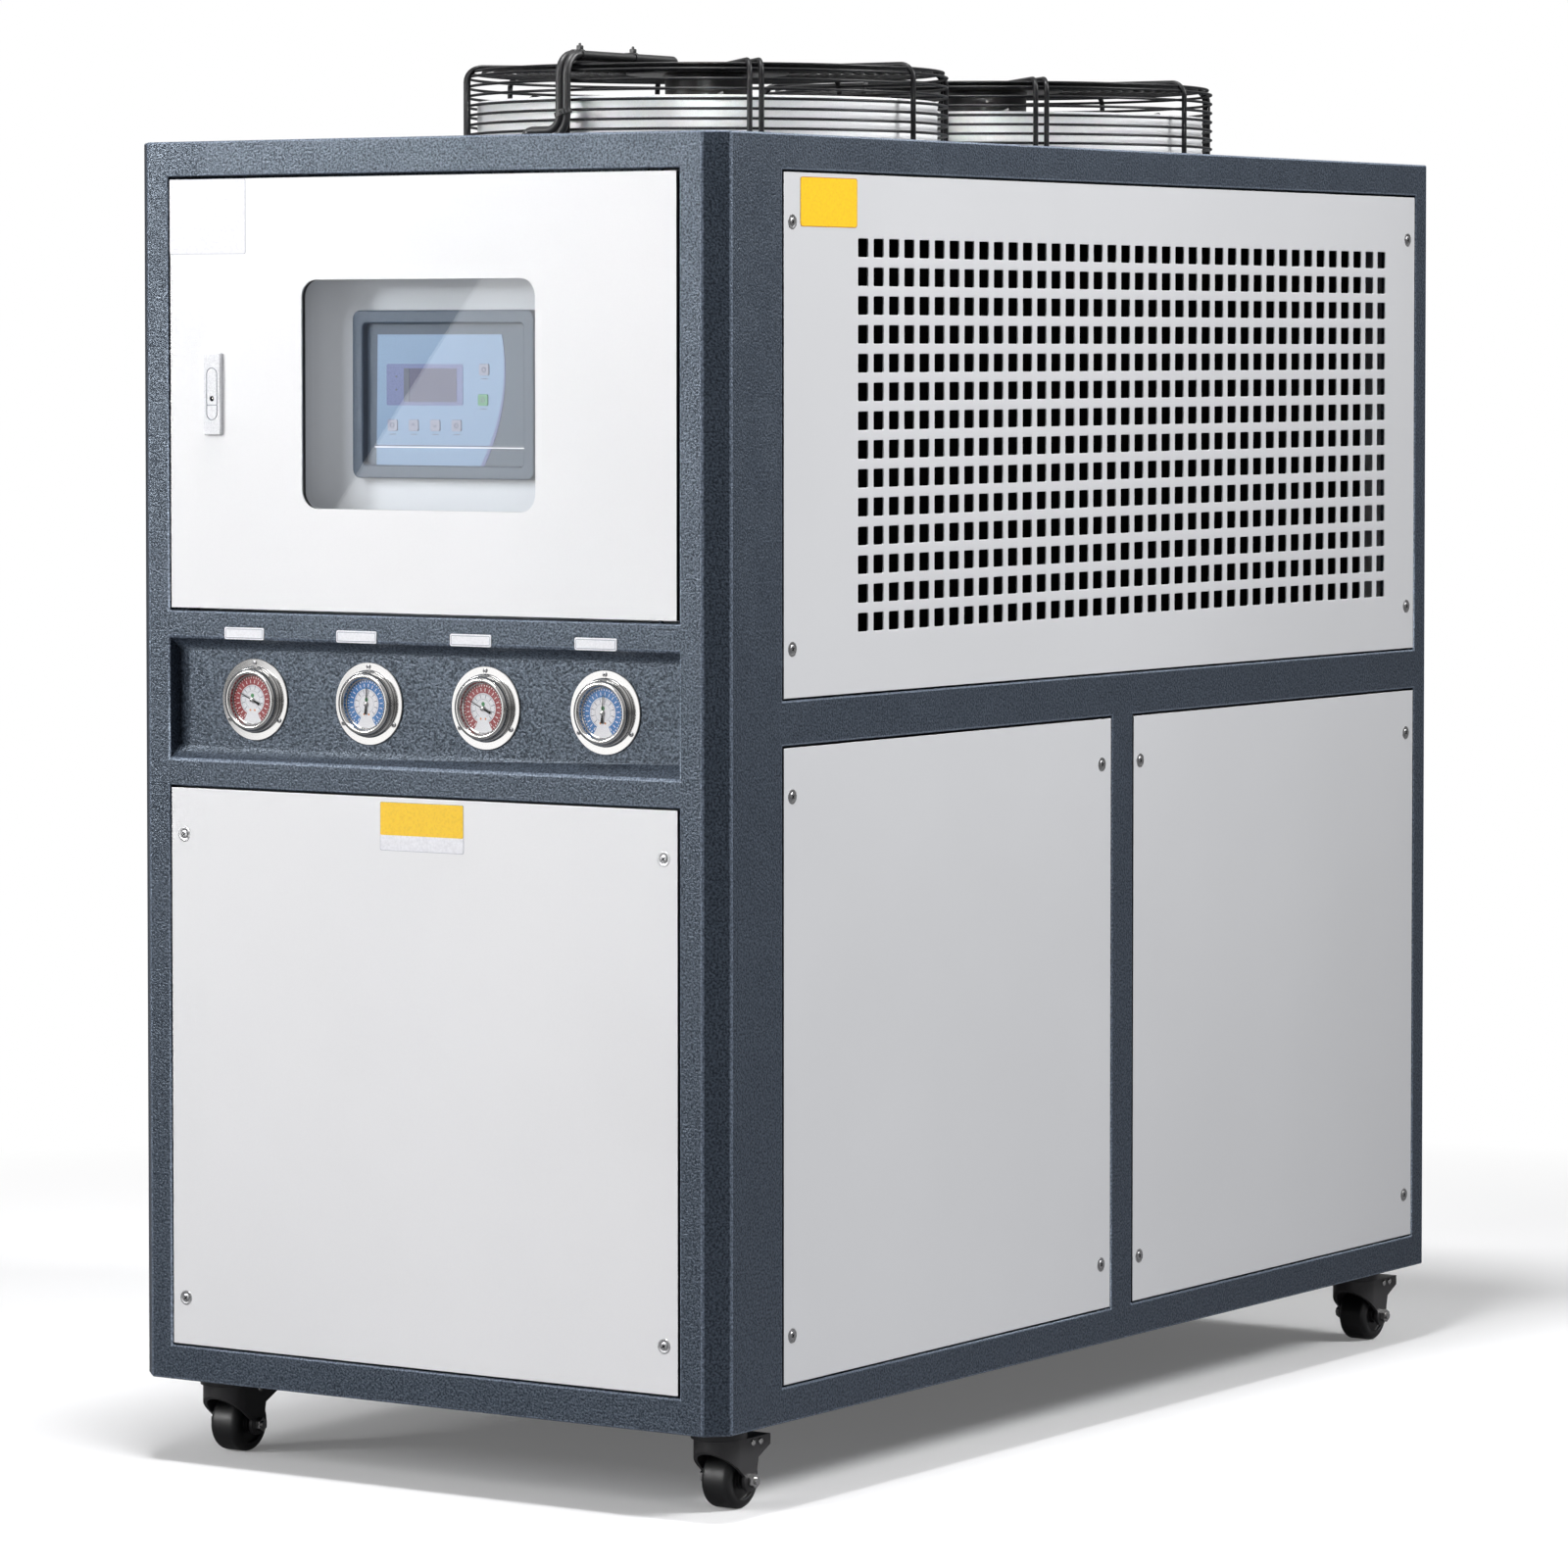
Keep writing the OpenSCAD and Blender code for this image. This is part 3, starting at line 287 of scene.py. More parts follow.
def glass(name, reflect, tint):
    """Thin clear pane: passes light straight through and mirrors a part of it."""
    mat = bpy.data.materials.new(name)
    mat.use_nodes = True
    tree = mat.node_tree
    tree.nodes.clear()
    where = V(tree, tree.nodes.new("ShaderNodeTexCoord").outputs["Object"])
    clear = where.node("ShaderNodeBsdfTransparent", {"Color": (*tint, 1.0)})
    haze = where.noise(6.0).ramp(0.3, 0.7, 0.003, 0.008)
    mirror = where.node("ShaderNodeBsdfGlossy", {"Color": (1, 1, 1, 1), "Roughness": haze})
    out = tree.nodes.new("ShaderNodeOutputMaterial")
    both = where.node("ShaderNodeMixShader", {0: reflect, 1: clear, 2: mirror})
    tree.links.new(both.socket, out.inputs["Surface"])
    return mat


M["pane"] = glass("window_glass", 0.040, (0.97, 0.98, 0.985))
M["lens"] = glass("clear_lens", 0.02, (0.98, 0.98, 0.98))


class Geo:
    """A geometry node group, run on a mesh to give a plain mesh."""

    def __init__(self, name, **inputs):
        self.tree = bpy.data.node_groups.new(name, "GeometryNodeTree")
        face = self.tree.interface
        face.new_socket("Geometry", in_out="INPUT", socket_type="NodeSocketGeometry")
        for key, kind in inputs.items():
            face.new_socket(key, in_out="INPUT", socket_type="NodeSocket" + kind)
        face.new_socket("Material", in_out="INPUT", socket_type="NodeSocketMaterial")
        face.new_socket("Geometry", in_out="OUTPUT", socket_type="NodeSocketGeometry")
        self.ins = self.tree.nodes.new("NodeGroupInput").outputs

    def node(self, kind, inputs=None, out=0, **settings):
        n = self.tree.nodes.new(kind)
        for key, value in settings.items():
            setattr(n, key, value)
        for key, value in (inputs or {}).items():
            if isinstance(value, bpy.types.NodeSocket):
                self.tree.links.new(value, n.inputs[key])
            else:
                n.inputs[key].default_value = value
        return n.outputs[out]

    def close(self, shape, smooth=False):
        """Ends the group: instances become real and take the material."""
        real = self.node("GeometryNodeRealizeInstances", {0: shape})
        real = self.node("GeometryNodeSetShadeSmooth", {"Geometry": real, "Shade Smooth": smooth})
        real = self.node("GeometryNodeSetMaterial", {"Geometry": real, "Material": self.ins["Material"]})
        self.tree.links.new(real, self.tree.nodes.new("NodeGroupOutput").inputs[0])
        return self

    def run(self, mesh, mat, **values):
        obj = bpy.data.objects.new("work", mesh)
        SCENE.collection.objects.link(obj)
        mod = obj.modifiers.new("shape", "NODES")
        mod.node_group = self.tree
        values["Material"] = mat
        for item in self.tree.interface.items_tree:
            if item.in_out == "INPUT" and item.name in values:
                mod[item.identifier] = values[item.name]
        obj.update_tag()
        graph = bpy.context.evaluated_depsgraph_get()
        made = bpy.data.meshes.new_from_object(obj.evaluated_get(graph), depsgraph=graph)
        bpy.data.objects.remove(obj)
        return made


def scatter_group():
    """A copy of the template on each point."""
    g = Geo("scatter", Template="Object")
    template = g.node("GeometryNodeObjectInfo", {"Object": g.ins["Template"]}, out="Geometry")
    many = g.node("GeometryNodeInstanceOnPoints", {"Points": g.ins["Geometry"], "Instance": template})
    return g.close(many)


def sheet_group():
    """One cell of a perforated sheet on each point, with the seams welded."""
    g = Geo("perforated", Template="Object")
    cell = g.node("GeometryNodeObjectInfo", {"Object": g.ins["Template"]}, out="Geometry")
    many = g.node("GeometryNodeInstanceOnPoints", {"Points": g.ins["Geometry"], "Instance": cell})
    real = g.node("GeometryNodeRealizeInstances", {0: many})
    return g.close(g.node("GeometryNodeMergeByDistance", {"Geometry": real, "Distance": 0.00005}))


def ring_group():
    """A wire ring round each point, of the radius that the point holds."""
    g = Geo("rings", Wire="Float")
    held = g.node("GeometryNodeInputNamedAttribute", {"Name": "radius"}, data_type="FLOAT")
    scale = g.node("ShaderNodeCombineXYZ", {0: held, 1: held, 2: 1.0})
    circle = g.node("GeometryNodeCurvePrimitiveCircle", {"Resolution": 96, "Radius": 1.0})
    many = g.node("GeometryNodeInstanceOnPoints",
                  {"Points": g.ins["Geometry"], "Instance": circle, "Scale": scale})
    real = g.node("GeometryNodeRealizeInstances", {0: many})
    wire = g.node("GeometryNodeCurvePrimitiveCircle", {"Resolution": 8, "Radius": g.ins["Wire"]})
    return g.close(g.node("GeometryNodeCurveToMesh", {"Curve": real, "Profile Curve": wire}), smooth=True)


def tube_group():
    """A round bar along each polyline."""
    g = Geo("tubes", Wire="Float", Sides="Int")
    line = g.node("GeometryNodeMeshToCurve", {"Mesh": g.ins["Geometry"]})
    wire = g.node("GeometryNodeCurvePrimitiveCircle", {"Resolution": g.ins["Sides"], "Radius": g.ins["Wire"]})
    bar = g.node("GeometryNodeCurveToMesh", {"Curve": line, "Profile Curve": wire, "Fill Caps": True})
    return g.close(bar, smooth=True)


SCATTER, SHEET, RINGS, TUBES = scatter_group(), sheet_group(), ring_group(), tube_group()


def mesh(name, verts, faces=(), edges=()):
    me = bpy.data.meshes.new(name)
    me.from_pydata([tuple(v) for v in verts], edges, faces)
    me.update()
    return me


def copies(template, points, mat, group=SCATTER):
    """The template mesh at each of the points."""
    obj = bpy.data.objects.new("template", template)
    SCENE.collection.objects.link(obj)
    made = group.run(mesh("points", points), mat, Template=obj)
    bpy.data.objects.remove(obj)
    return made


def rings(radii_heights, centre, wire, mat):
    me = mesh("ring_points", [(centre[0], centre[1], z) for _, z in radii_heights])
    held = me.attributes.new("radius", "FLOAT", "POINT")
    held.data.foreach_set("value", [r for r, _ in radii_heights])
    return RINGS.run(me, mat, Wire=wire)


def tubes(lines, wire, mat, sides=10):
    verts, edges = [], []
    for line in lines:
        edges += [(len(verts) + i, len(verts) + i + 1) for i in range(len(line) - 1)]
        verts += line
    return TUBES.run(mesh("lines", verts, edges=edges), mat, Wire=wire, Sides=sides)


def bent(points, radii, n=8):
    """The path through the points, its inner corners rounded to the radii."""
    pts = [Vector(p) for p in points]
    path = [pts[0]]
    for a, b, c, r in zip(pts, pts[1:], pts[2:], radii):
        u, v = (a - b).normalized(), (c - b).normalized()
        half = u.angle(v) / 2
        centre = b + (u + v).normalized() * (r / math.sin(half))
        start, end = b + u * (r / math.tan(half)) - centre, b + v * (r / math.tan(half)) - centre
        sweep = start.angle(end)
        for i in range(n + 1):
            k = sweep * i / n
            path.append(centre + (start * math.sin(sweep - k) + end * math.sin(k)) / math.sin(sweep))
    return path + [pts[-1]]


def joined(name, *parts):
    """One mesh from several that keep their materials."""
    bm = bmesh.new()
    mats = []
    for part in parts:
        first = len(bm.faces)
        bm.from_mesh(part)
        bm.faces.ensure_lookup_table()
        for m in part.materials:
            if m not in mats:
                mats.append(m)
        for f in bm.faces[first:]:
            f.material_index = mats.index(part.materials[f.material_index])
    me = bpy.data.meshes.new(name)
    bm.to_mesh(me)
    bm.free()
    for m in mats:
        me.materials.append(m)
    return me


def painted(me, mat):
    me.materials.clear()
    me.materials.append(mat)
    return me


def two_tone(me, first, second, test):
    """Faces that pass the test take the second material."""
    painted(me, first)
    me.materials.append(second)
    for face in me.polygons:
        face.material_index = int(test(face))
    return me


def finished(obj, *modifiers):
    """The object's mesh with modifiers applied."""
    SCENE.collection.objects.link(obj)
    for kind, settings in modifiers:
        mod = obj.modifiers.new(kind.lower(), kind)
        for key, value in settings.items():
            setattr(mod, key, value)
    graph = bpy.context.evaluated_depsgraph_get()
    made = bpy.data.meshes.new_from_object(obj.evaluated_get(graph), depsgraph=graph)
    bpy.data.objects.remove(obj)
    return made


def show(name, me, body, replaces=(), sharp=35.0):
    """Puts a finished mesh into the scene on a body."""
    if sharp:
        me.shade_smooth()
        me.set_sharp_from_angle(angle=math.radians(sharp))
        me = finished(bpy.data.objects.new("work", me),
                      ("WEIGHTED_NORMAL", {"mode": "FACE_AREA", "weight": 100, "keep_sharp": True}))
    obj = bpy.data.objects.new(name, me)
    SCENE.collection.objects.link(obj)
    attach(obj, body)
    if replaces:
        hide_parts(*replaces)
    return obj


def clean(me, weld=0.001 * MM):
    """Welds the imported corners and drops edges inside flat faces."""
    bm = bmesh.new()
    bm.from_mesh(me)
    bmesh.ops.remove_doubles(bm, verts=bm.verts, dist=weld)
    bmesh.ops.dissolve_limit(bm, angle_limit=math.radians(0.5), verts=bm.verts, edges=bm.edges)
    out = bpy.data.meshes.new(me.name + "_clean")
    bm.to_mesh(out)
    bm.free()
    return out


def one_skin(names):
    """CAD nodes made one closed surface."""
    work = bpy.data.objects.new("skin", clean(NODES[names[0]].data))
    others = []
    for n in names[1:]:
        other = bpy.data.objects.new("other", clean(NODES[n].data))
        SCENE.collection.objects.link(other)
        others.append(other)
    unions = [("BOOLEAN", {"operation": "UNION", "solver": "EXACT", "object": o}) for o in others]
    made = finished(work, *unions)
    for other in others:
        bpy.data.objects.remove(other)
    return clean(made, 0.3 * MM)


def eased(me, width, segments, pick):
    """Rounds the outer edges that pick accepts, given the two ends of an edge, in a second material; on the
    frame that material is a paler coat as painted edge highlight.
    """
    bm = bmesh.new()
    bm.from_mesh(me)
    edges = [e for e in bm.edges if len(e.link_faces) == 2 and e.is_convex and e.calc_face_angle() > 0.5
             and pick(*[v.co for v in e.verts])]
    round_faces = bmesh.ops.bevel(bm, geom=edges, offset=width, offset_type="OFFSET", segments=segments,
                                  profile=0.5, affect="EDGES", clamp_overlap=True)["faces"]
    for face in round_faces:
        face.material_index = 1
    bm.to_mesh(me)
    bm.free()
    return me


def rounded(node, width, segments=2):
    """A copy of a CAD node with all its edges rounded."""
    work = bpy.data.objects.new("skin", clean(NODES[node].data))
    return finished(work, ("BEVEL", {"width": width, "segments": segments, "limit_method": "ANGLE",
                                     "angle_limit": math.radians(30), "harden_normals": False}))


def lathe(profile, n=64, at=Matrix()):
    """Turns a profile of (radius, height) pairs round Z."""
    verts, faces = [], []
    rows = []
    for r, z in profile:
        if r < 1e-9:
            rows.append([len(verts)] * n)
            verts.append(at @ Vector((0, 0, z)))
        else:
            rows.append(list(range(len(verts), len(verts) + n)))
            turns = [2 * math.pi * i / n for i in range(n)]
            verts += [at @ Vector((r * math.cos(t), r * math.sin(t), z)) for t in turns]
    for a, b in zip(rows, rows[1:]):
        for i in range(n):
            k = (i + 1) % n
            faces.append(tuple(dict.fromkeys((a[i], a[k], b[k], b[i]))))
    return mesh("lathe", verts, [f for f in faces if len(f) > 2])


def turned(profile, mat, n=64, at=Matrix()):
    """A lathed piece from a profile in millimetres."""
    return painted(lathe([(r * MM, z * MM) for r, z in profile], n, at), mat)


def outline(w, h, r, n=6):
    """Corners of a rounded rectangle about the middle, anticlockwise."""
    pts = []
    for cx, cy, a in ((1, 1, 0), (-1, 1, 90), (-1, -1, 180), (1, -1, 270)):
        for i in range(n + 1):
            t = math.radians(a + 90 * i / n)
            pts.append((cx * (w / 2 - r) + r * math.cos(t), cy * (h / 2 - r) + r * math.sin(t)))
    return pts


def plate(points, low, high, mat, at=Matrix(), round_off=0.0):
    """A flat piece with the given outline in millimetres, its top edge rounded off."""
    n = len(points)
    mid = Vector((sum(x for x, _ in points) / n, sum(y for _, y in points) / n))
    rows = [(low, 0.0), (high - round_off, 0.0)]
    if round_off:
        rows += [(high - round_off * 0.3, round_off * 0.3), (high, round_off)]
    verts = []
    for z, inset in rows:
        for x, y in points:
            d = Vector((x, y)) - mid
            k = max(0.0, 1 - inset / max(d.length, 1e-9))
            verts.append(at @ (Vector((mid.x + d.x * k, mid.y + d.y * k, z)) * MM))
    faces = [tuple(range(n))[::-1], tuple(range(len(verts) - n, len(verts)))]
    for j in range(len(rows) - 1):
        for i in range(n):
            k = (i + 1) % n
            faces.append((j * n + i, j * n + k, j * n + n + k, j * n + n + i))
    return painted(mesh("plate", verts, faces), mat)


def facing(x, y, z, side="front"):
    """Places local Z out of a side of the cabinet and local Y up."""
    turn = {"front": 0, "right": 90, "rear": 180, "left": 270}[side]
    stand = Matrix.Rotation(math.radians(turn), 4, "Z") @ Matrix.Rotation(math.radians(90), 4, "X")
    return Matrix.Translation((x, y, z)) @ stand


def dress(node, mat):
    painted(NODES[node].data, mat)


cab_lo, cab_hi = box("base_frame")
top_z = box("top_cover")[1].z
front_y, rear_y, right_x, left_x = cab_lo.y, cab_hi.y, cab_hi.x, cab_lo.x
Z0 = cab_lo.z

# Frame: one continuous skin with softened outer edges, which take a paler coat as painted highlight
FRAME_NODES = ["base_frame", "front_post_left", "front_post_right", "rear_post_left", "rear_post_right",
               "gauge_panel", "right_rails", "left_rails", "rear_rail", "top_cover"]
CHAMFER = 22 * MM


def outside(v):
    """True where a corner lies on the outer faces of the cabinet."""
    x, y = abs(v.x), abs(v.y)
    gaps = (right_x - x, rear_y - y, right_x + rear_y - CHAMFER - x - y, top_z - v.z, v.z - Z0)
    return min(gaps) < 0.02 * MM


skin = eased(one_skin(FRAME_NODES), 2.2 * MM, 3, lambda a, b: outside(a) and outside(b))
skin.materials.append(M["frame"])
# the rounded edges take the paler coat: painted highlight
skin.materials.append(M["frame_edge_highlight"])
show("frame_skin", skin, "cabinet", FRAME_NODES)


# Flat panels with softened folds, their rim faces in the gaps painted near-black as painted shade
def rim_of(node, across):
    """Tells the faces of a panel's outer rim, for a panel that faces along axis number across."""
    lo, hi = box(node)
    along = (2, 1 - across)

    def test(face):
        c = face.center
        inset = min(min(c[i] - lo[i], hi[i] - c[i]) for i in along)
        return inset < 1.0 * MM and abs(face.normal[across]) < 0.5

    return test


def panel(node, key, across, name, body="cabinet"):
    # rim faces inside the gaps take near-black: painted shade in the panel gaps
    skin = two_tone(rounded(node, 0.9 * MM), M[key], M["rubber"], rim_of(node, across))
    show(name, skin, body, [node])


panel("front_lower_panel", "white", 1, "front_lower_panel_skin")
for place in ("upper", "lower"):
    panel("rear_%s_panel" % place, "grey", 1, "rear_%s_panel_skin" % place)
SIDE_PANELS = ("right_lower_panel_front", "right_lower_panel_rear",
               "left_lower_panel_front", "left_lower_panel_rear")
for node in SIDE_PANELS:
    panel(node, "grey", 0, node + "_skin")
panel("door_panel", "white", 1, "door_skin", "control_door")


# Perforated sides
GRILLE_T = 1.5 * MM
COLS, ROWS = 39, 14
BORDER_LOW, BORDER_HIGH, BORDER_FRONT = 59.7, 62.1, 138
lo, hi = box("right_grille")
PITCH = (hi.z - lo.z - (BORDER_LOW + BORDER_HIGH) * MM) / ROWS
HOLE = PITCH * 0.642
FIELD_Y = lo.y + BORDER_FRONT * MM + COLS * PITCH / 2
FIELD_Z = lo.z + BORDER_LOW * MM + ROWS * PITCH / 2


def quarter_turns(points):
    """The points of one corner, repeated round the four corners."""
    loop = []
    for _ in range(4):
        loop += points
        points = [(-y, x) for x, y in points]
    return loop


def square_loop(half, corner):
    """A square of half width half with corners rounded to a radius."""
    c = half - corner
    turns = (0, math.pi / 4, math.pi / 2)
    return quarter_turns([(c + corner * math.cos(t), c + corner * math.sin(t)) for t in turns])


def grille_cell(out):
    """One pitch of the sheet with a square hole and a small rounded rim; out is +1 or -1 along X."""
    rim, corner = 0.7 * MM, 1.6 * MM
    edge = PITCH / 2
    seam = quarter_turns([(edge, edge / 2), (edge, edge), (edge / 2, edge)])
    loops = [(seam, 0.0), (square_loop(HOLE / 2 + rim, corner + rim), 0.0),
             (square_loop(HOLE / 2 + rim * 0.3, corner), rim * 0.3), (square_loop(HOLE / 2, corner), rim),
             (square_loop(HOLE / 2, corner), GRILLE_T), (seam, GRILLE_T)]
    n = len(seam)
    verts, faces = [], []
    for points, depth in loops:
        verts += [(-out * depth, y, z) for y, z in points]
    for j in range(len(loops) - 1):
        for i in range(n):
            k = (i + 1) % n
            quad = (n * j + i, n * j + k, n * j + n + k, n * j + n + i)
            faces.append(quad if out > 0 else quad[::-1])
    return mesh("cell", verts, faces)


def grille(node, out):
    lo, hi = box(node)
    face = hi.x if out > 0 else lo.x
    spots = [(face, FIELD_Y + (i - (COLS - 1) / 2) * PITCH, FIELD_Z + (k - (ROWS - 1) / 2) * PITCH)
             for i in range(COLS) for k in range(ROWS)]
    field = copies(grille_cell(out), spots, M["grey"], SHEET)
    half_y, half_z = COLS * PITCH / 2, ROWS * PITCH / 2
    fold = 0.9 * MM
    loops = []
    inner = (FIELD_Y - half_y, FIELD_Y + half_y, FIELD_Z - half_z, FIELD_Z + half_z)

    def loop(x, y0, y1, z0, z1):
        loops.append([(x, y0, z0), (x, y1, z0), (x, y1, z1), (x, y0, z1)])

    def inset(d, x):
        loop(face - out * x, lo.y + d, hi.y - d, lo.z + d, hi.z - d)

    loop(face, *inner)
    inset(fold, 0.0)
    inset(fold * 0.3, fold * 0.3)
    inset(0.0, fold)
    inset(0.0, hi.x - lo.x)
    inset(2 * MM, hi.x - lo.x)
    inset(2 * MM, GRILLE_T)
    loop(face - out * GRILLE_T, *inner)
    verts = [v for ring in loops for v in ring]
    faces = []
    for j in range(len(loops) - 1):
        for i in range(4):
            k = (i + 1) % 4
            quad = (4 * j + i, 4 * j + 4 + i, 4 * j + 4 + k, 4 * j + k)
            faces.append(quad if out > 0 else quad[::-1])
    # border rim faces inside the gap take near-black: painted shade
    border = two_tone(mesh("border", verts, faces), M["grey"], M["rubber"], rim_of(node, 0))
    show(node + "_sheet", joined(node, field, border), "cabinet", [node])


grille("right_grille", 1)
grille("left_grille", -1)


# Finned coils behind the perforated sides, painted near-black as painted shade behind the grilles
def block(x0, x1, y0, y1, z0, z1):
    return mesh("block", [(x, y, z) for x in (x0, x1) for y in (y0, y1) for z in (z0, z1)],
                [(0, 1, 3, 2), (4, 6, 7, 5), (0, 4, 5, 1), (2, 3, 7, 6), (0, 2, 6, 4), (1, 5, 7, 3)])


lo, hi = box("condenser_coils")
COIL_T, CORE_T, FIN_STEP, HALF_FIN = 24 * MM, 10 * MM, 4 * MM, 0.2 * MM
coil = []
for x0 in (lo.x, hi.x - COIL_T):
    fin = block(x0, x0 + COIL_T, -HALF_FIN, HALF_FIN, lo.z, hi.z)
    count = int((hi.y - lo.y) / FIN_STEP)
    coil.append(copies(fin, [(0, lo.y + (i + 0.5) * FIN_STEP, 0) for i in range(count)], M["fin"]))
    mid = x0 + COIL_T / 2
    coil.append(painted(block(mid - CORE_T / 2, mid + CORE_T / 2, lo.y, hi.y, lo.z, hi.z), M["fin"]))
show("coil_fins", joined("coils", *coil), "cabinet", ["condenser_coils"], sharp=0)

# machine compartment painted near-black: painted shade inside the cabinet
dress("machine_compartment", M["dark"])
dress("control_box", M["niche"])
bezel = painted(rounded("controller_bezel", 2.0 * MM, 3), M["bezel"])
show("bezel_skin", bezel, "cabinet", ["controller_bezel"])

# Keypad face behind the window
lo, hi = box("controller_face")
mid_x, mid_z, face_y = (lo.x + hi.x) / 2, (lo.z + hi.z) / 2, lo.y
kw, kh = (hi.x - lo.x) / MM, (hi.z - lo.z) / MM


def pad(points, low, high, key, x=0.0, z=0.0, round_off=0.0):
    return plate(points, low, high, M[key], facing(mid_x + x * MM, face_y, mid_z + z * MM), round_off)


def arc_x(z):
    """Right edge of the blue sheet at height z."""
    return 76.0 - 0.0028 * (z - 30) ** 2


arc = [(arc_x(-kh / 2 + i * (64 + kh / 2) / 16), -kh / 2 + i * (64 + kh / 2) / 16) for i in range(17)]
stripe = [(x + 5 * (1 - i / 16), y) for i, (x, y) in enumerate(arc)]
KEYS = [(-71, -33), (-43, -33), (-14.5, -33), (13.7, -33), (50, 26.6), (48.5, -5.6)]
keys = [pad(outline(kw, kh, 4.8), -2.0, 0.0, "bezel"),
        pad([(-93, -kh / 2)] + arc + [(-91, 64)], 0.0, 0.5, "pad"),
        pad(stripe + arc[::-1], 0.0, 0.45, "lilac"),
        pad(outline(101, 44.4, 2), 0.5, 0.9, "lilac", -28.5, 10.4),
        pad(outline(62, 36, 1), 0.9, 1.1, "lcd", -17, 10),
        pad(outline(7.5, 36, 0.5), 0.9, 1.3, "ink", -52, 10),
        pad(outline(kw - 14, 1.3, 0.5), 0.5, 1.3, "paper", 4, -56.4),
        pad(outline(kw - 14, 1.1, 0.4), 0.5, 0.9, "ink", 4, -54.6)]
keys += [pad(outline(13, 12.3, 1.8), 0.5, 1.6, "key" if i < 5 else "green", x, z, 0.6)
         for i, (x, z) in enumerate(KEYS)]
for (x, z), s in zip(KEYS[1:3], (1, -1)):
    tip = [(-3.4, -1.4 * s), (0, 0.7 * s), (3.4, -1.4 * s), (0, 2.4 * s)]
    keys.append(pad(tip[::-s], 1.6, 1.8, "ink", x, z))
for x, z in KEYS[:1] + KEYS[3:]:
    at = facing(mid_x + x * MM, face_y, mid_z + z * MM)
    keys.append(turned([(1.8, 1.62), (1.8, 1.8), (2.9, 1.8), (2.9, 1.62)], M["ink"], 20, at))
for x, z in KEYS:
    keys.append(pad(outline(9, 0.9, 0.3), 0.5, 0.56, "ink", x, z - 9.6))
for z in (19, 5):
    at = facing(mid_x - 66 * MM, face_y, mid_z + z * MM)
    keys.append(turned([(0, 1.3), (1.1, 1.3), (1.1, 0.9)], M["ink"], 16, at))
show("keypad", joined("keypad", *keys), "cabinet", ["controller_face"])

dress("door_window", M["pane"])
dress("window_seal", M["rubber"])


# Screws
def screw_mesh(at, head=4.6, proud=1.0, cup=True):
    """Pan head in a shallow cup, with a near-black cross on the head as painted shade of its cross cut."""
    parts = []
    if cup:
        dish = [(1.75, 0.0), (1.70, 0.35), (1.45, 0.5), (1.08, 0.12), (1.02, 0.1)]
        parts.append(turned([(head * k, z) for k, z in dish], M["screw"], 28, at))
    dome = [(1, 0.0), (1, 0.35), (0.92, proud * 0.7), (0.7, proud * 0.92), (0.4, proud), (0, proud)]
    parts.append(turned([(head * k, z) for k, z in dome], M["screw"], 28, at))
    # the cross is a near-black plate on the head: painted shade
    cut = outline(head * 1.15, head * 0.26, head * 0.1, 2)
    for turn in (35, 125):
        a = at @ Matrix.Rotation(math.radians(turn), 4, "Z")
        parts.append(plate(cut, proud * 0.9, proud + 0.06, M["dark"], a))
    return joined("screw", *parts)


def scatter_screws(name, spots, template):
    """A screw at each of the spots, which keeps the template's materials."""
    mats = list(template.materials)
    keep = [p.material_index for p in template.polygons]
    made = copies(template, spots, mats[0])
    made.materials.clear()
    for m in mats:
        made.materials.append(m)
    made.polygons.foreach_set("material_index", keep * len(spots))
    show(name, made, "cabinet")


def end_spots(y, heights):
    """Screw places near both edges of the front or the rear."""
    return [(x * MM, y, Z0 + z * MM) for x in (-316, 316) for z in heights]


scatter_screws("front_screws", end_spots(front_y, (91, 598)), screw_mesh(facing(0, 0, 0, "front")))
side_spots = [(y * MM, Z0 + z * MM) for y in (-650, 715) for z in (1258, 812, 657.5, 90.6)]
side_spots += [(y * MM, Z0 + z * MM) for y in (-13.6, 72) for z in (657.5, 90.6)]
scatter_screws("right_screws", [(right_x, y, z) for y, z in side_spots], screw_mesh(facing(0, 0, 0, "right")))
scatter_screws("left_screws", [(left_x, y, z) for y, z in side_spots], screw_mesh(facing(0, 0, 0, "left")))
scatter_screws("rear_screws", end_spots(rear_y, (91, 657.5, 812, 1258)), screw_mesh(facing(0, 0, 0, "rear")))

# Gauges
lo, hi = box("gauge_cases")
gauge_z = (lo.z + hi.z) / 2
BAND_DEPTH, GAUGE_STEP, DIAL_R, FLANGE_SCREW_R = 18 * MM, 154 * MM, 25.8, 39.8 * MM
seat_y = front_y + BAND_DEPTH
SHELL = [(0, -34), (29.5, -34), (30, -33.5), (30, 0), (44.0, 0), (44.5, 0.4), (44.5, 1.4), (43.8, 2.0),
         (36.4, 2.1), (35.8, 2.7), (35.7, 5.2), (35.0, 6.0), (34.2, 6.4), (34.0, 7.0), (34.0, 9.6),
         (33.2, 11.6), (31.6, 12.7), (30.0, 13.0), (28.6, 12.6), (27.6, 11.4), (27.0, 9.6), (26.8, 6.6),
         (26.0, 6.2), (26.0, 4.6), (0, 4.6)]
NEEDLE = [(-0.45, 2), (-0.9, -4), (-1.6, -11), (1.6, -11), (0.9, -4), (0.45, 2), (0.3, 17), (0, 19.5),
          (-0.3, 17)]
shells, prints, lenses = [], [], []
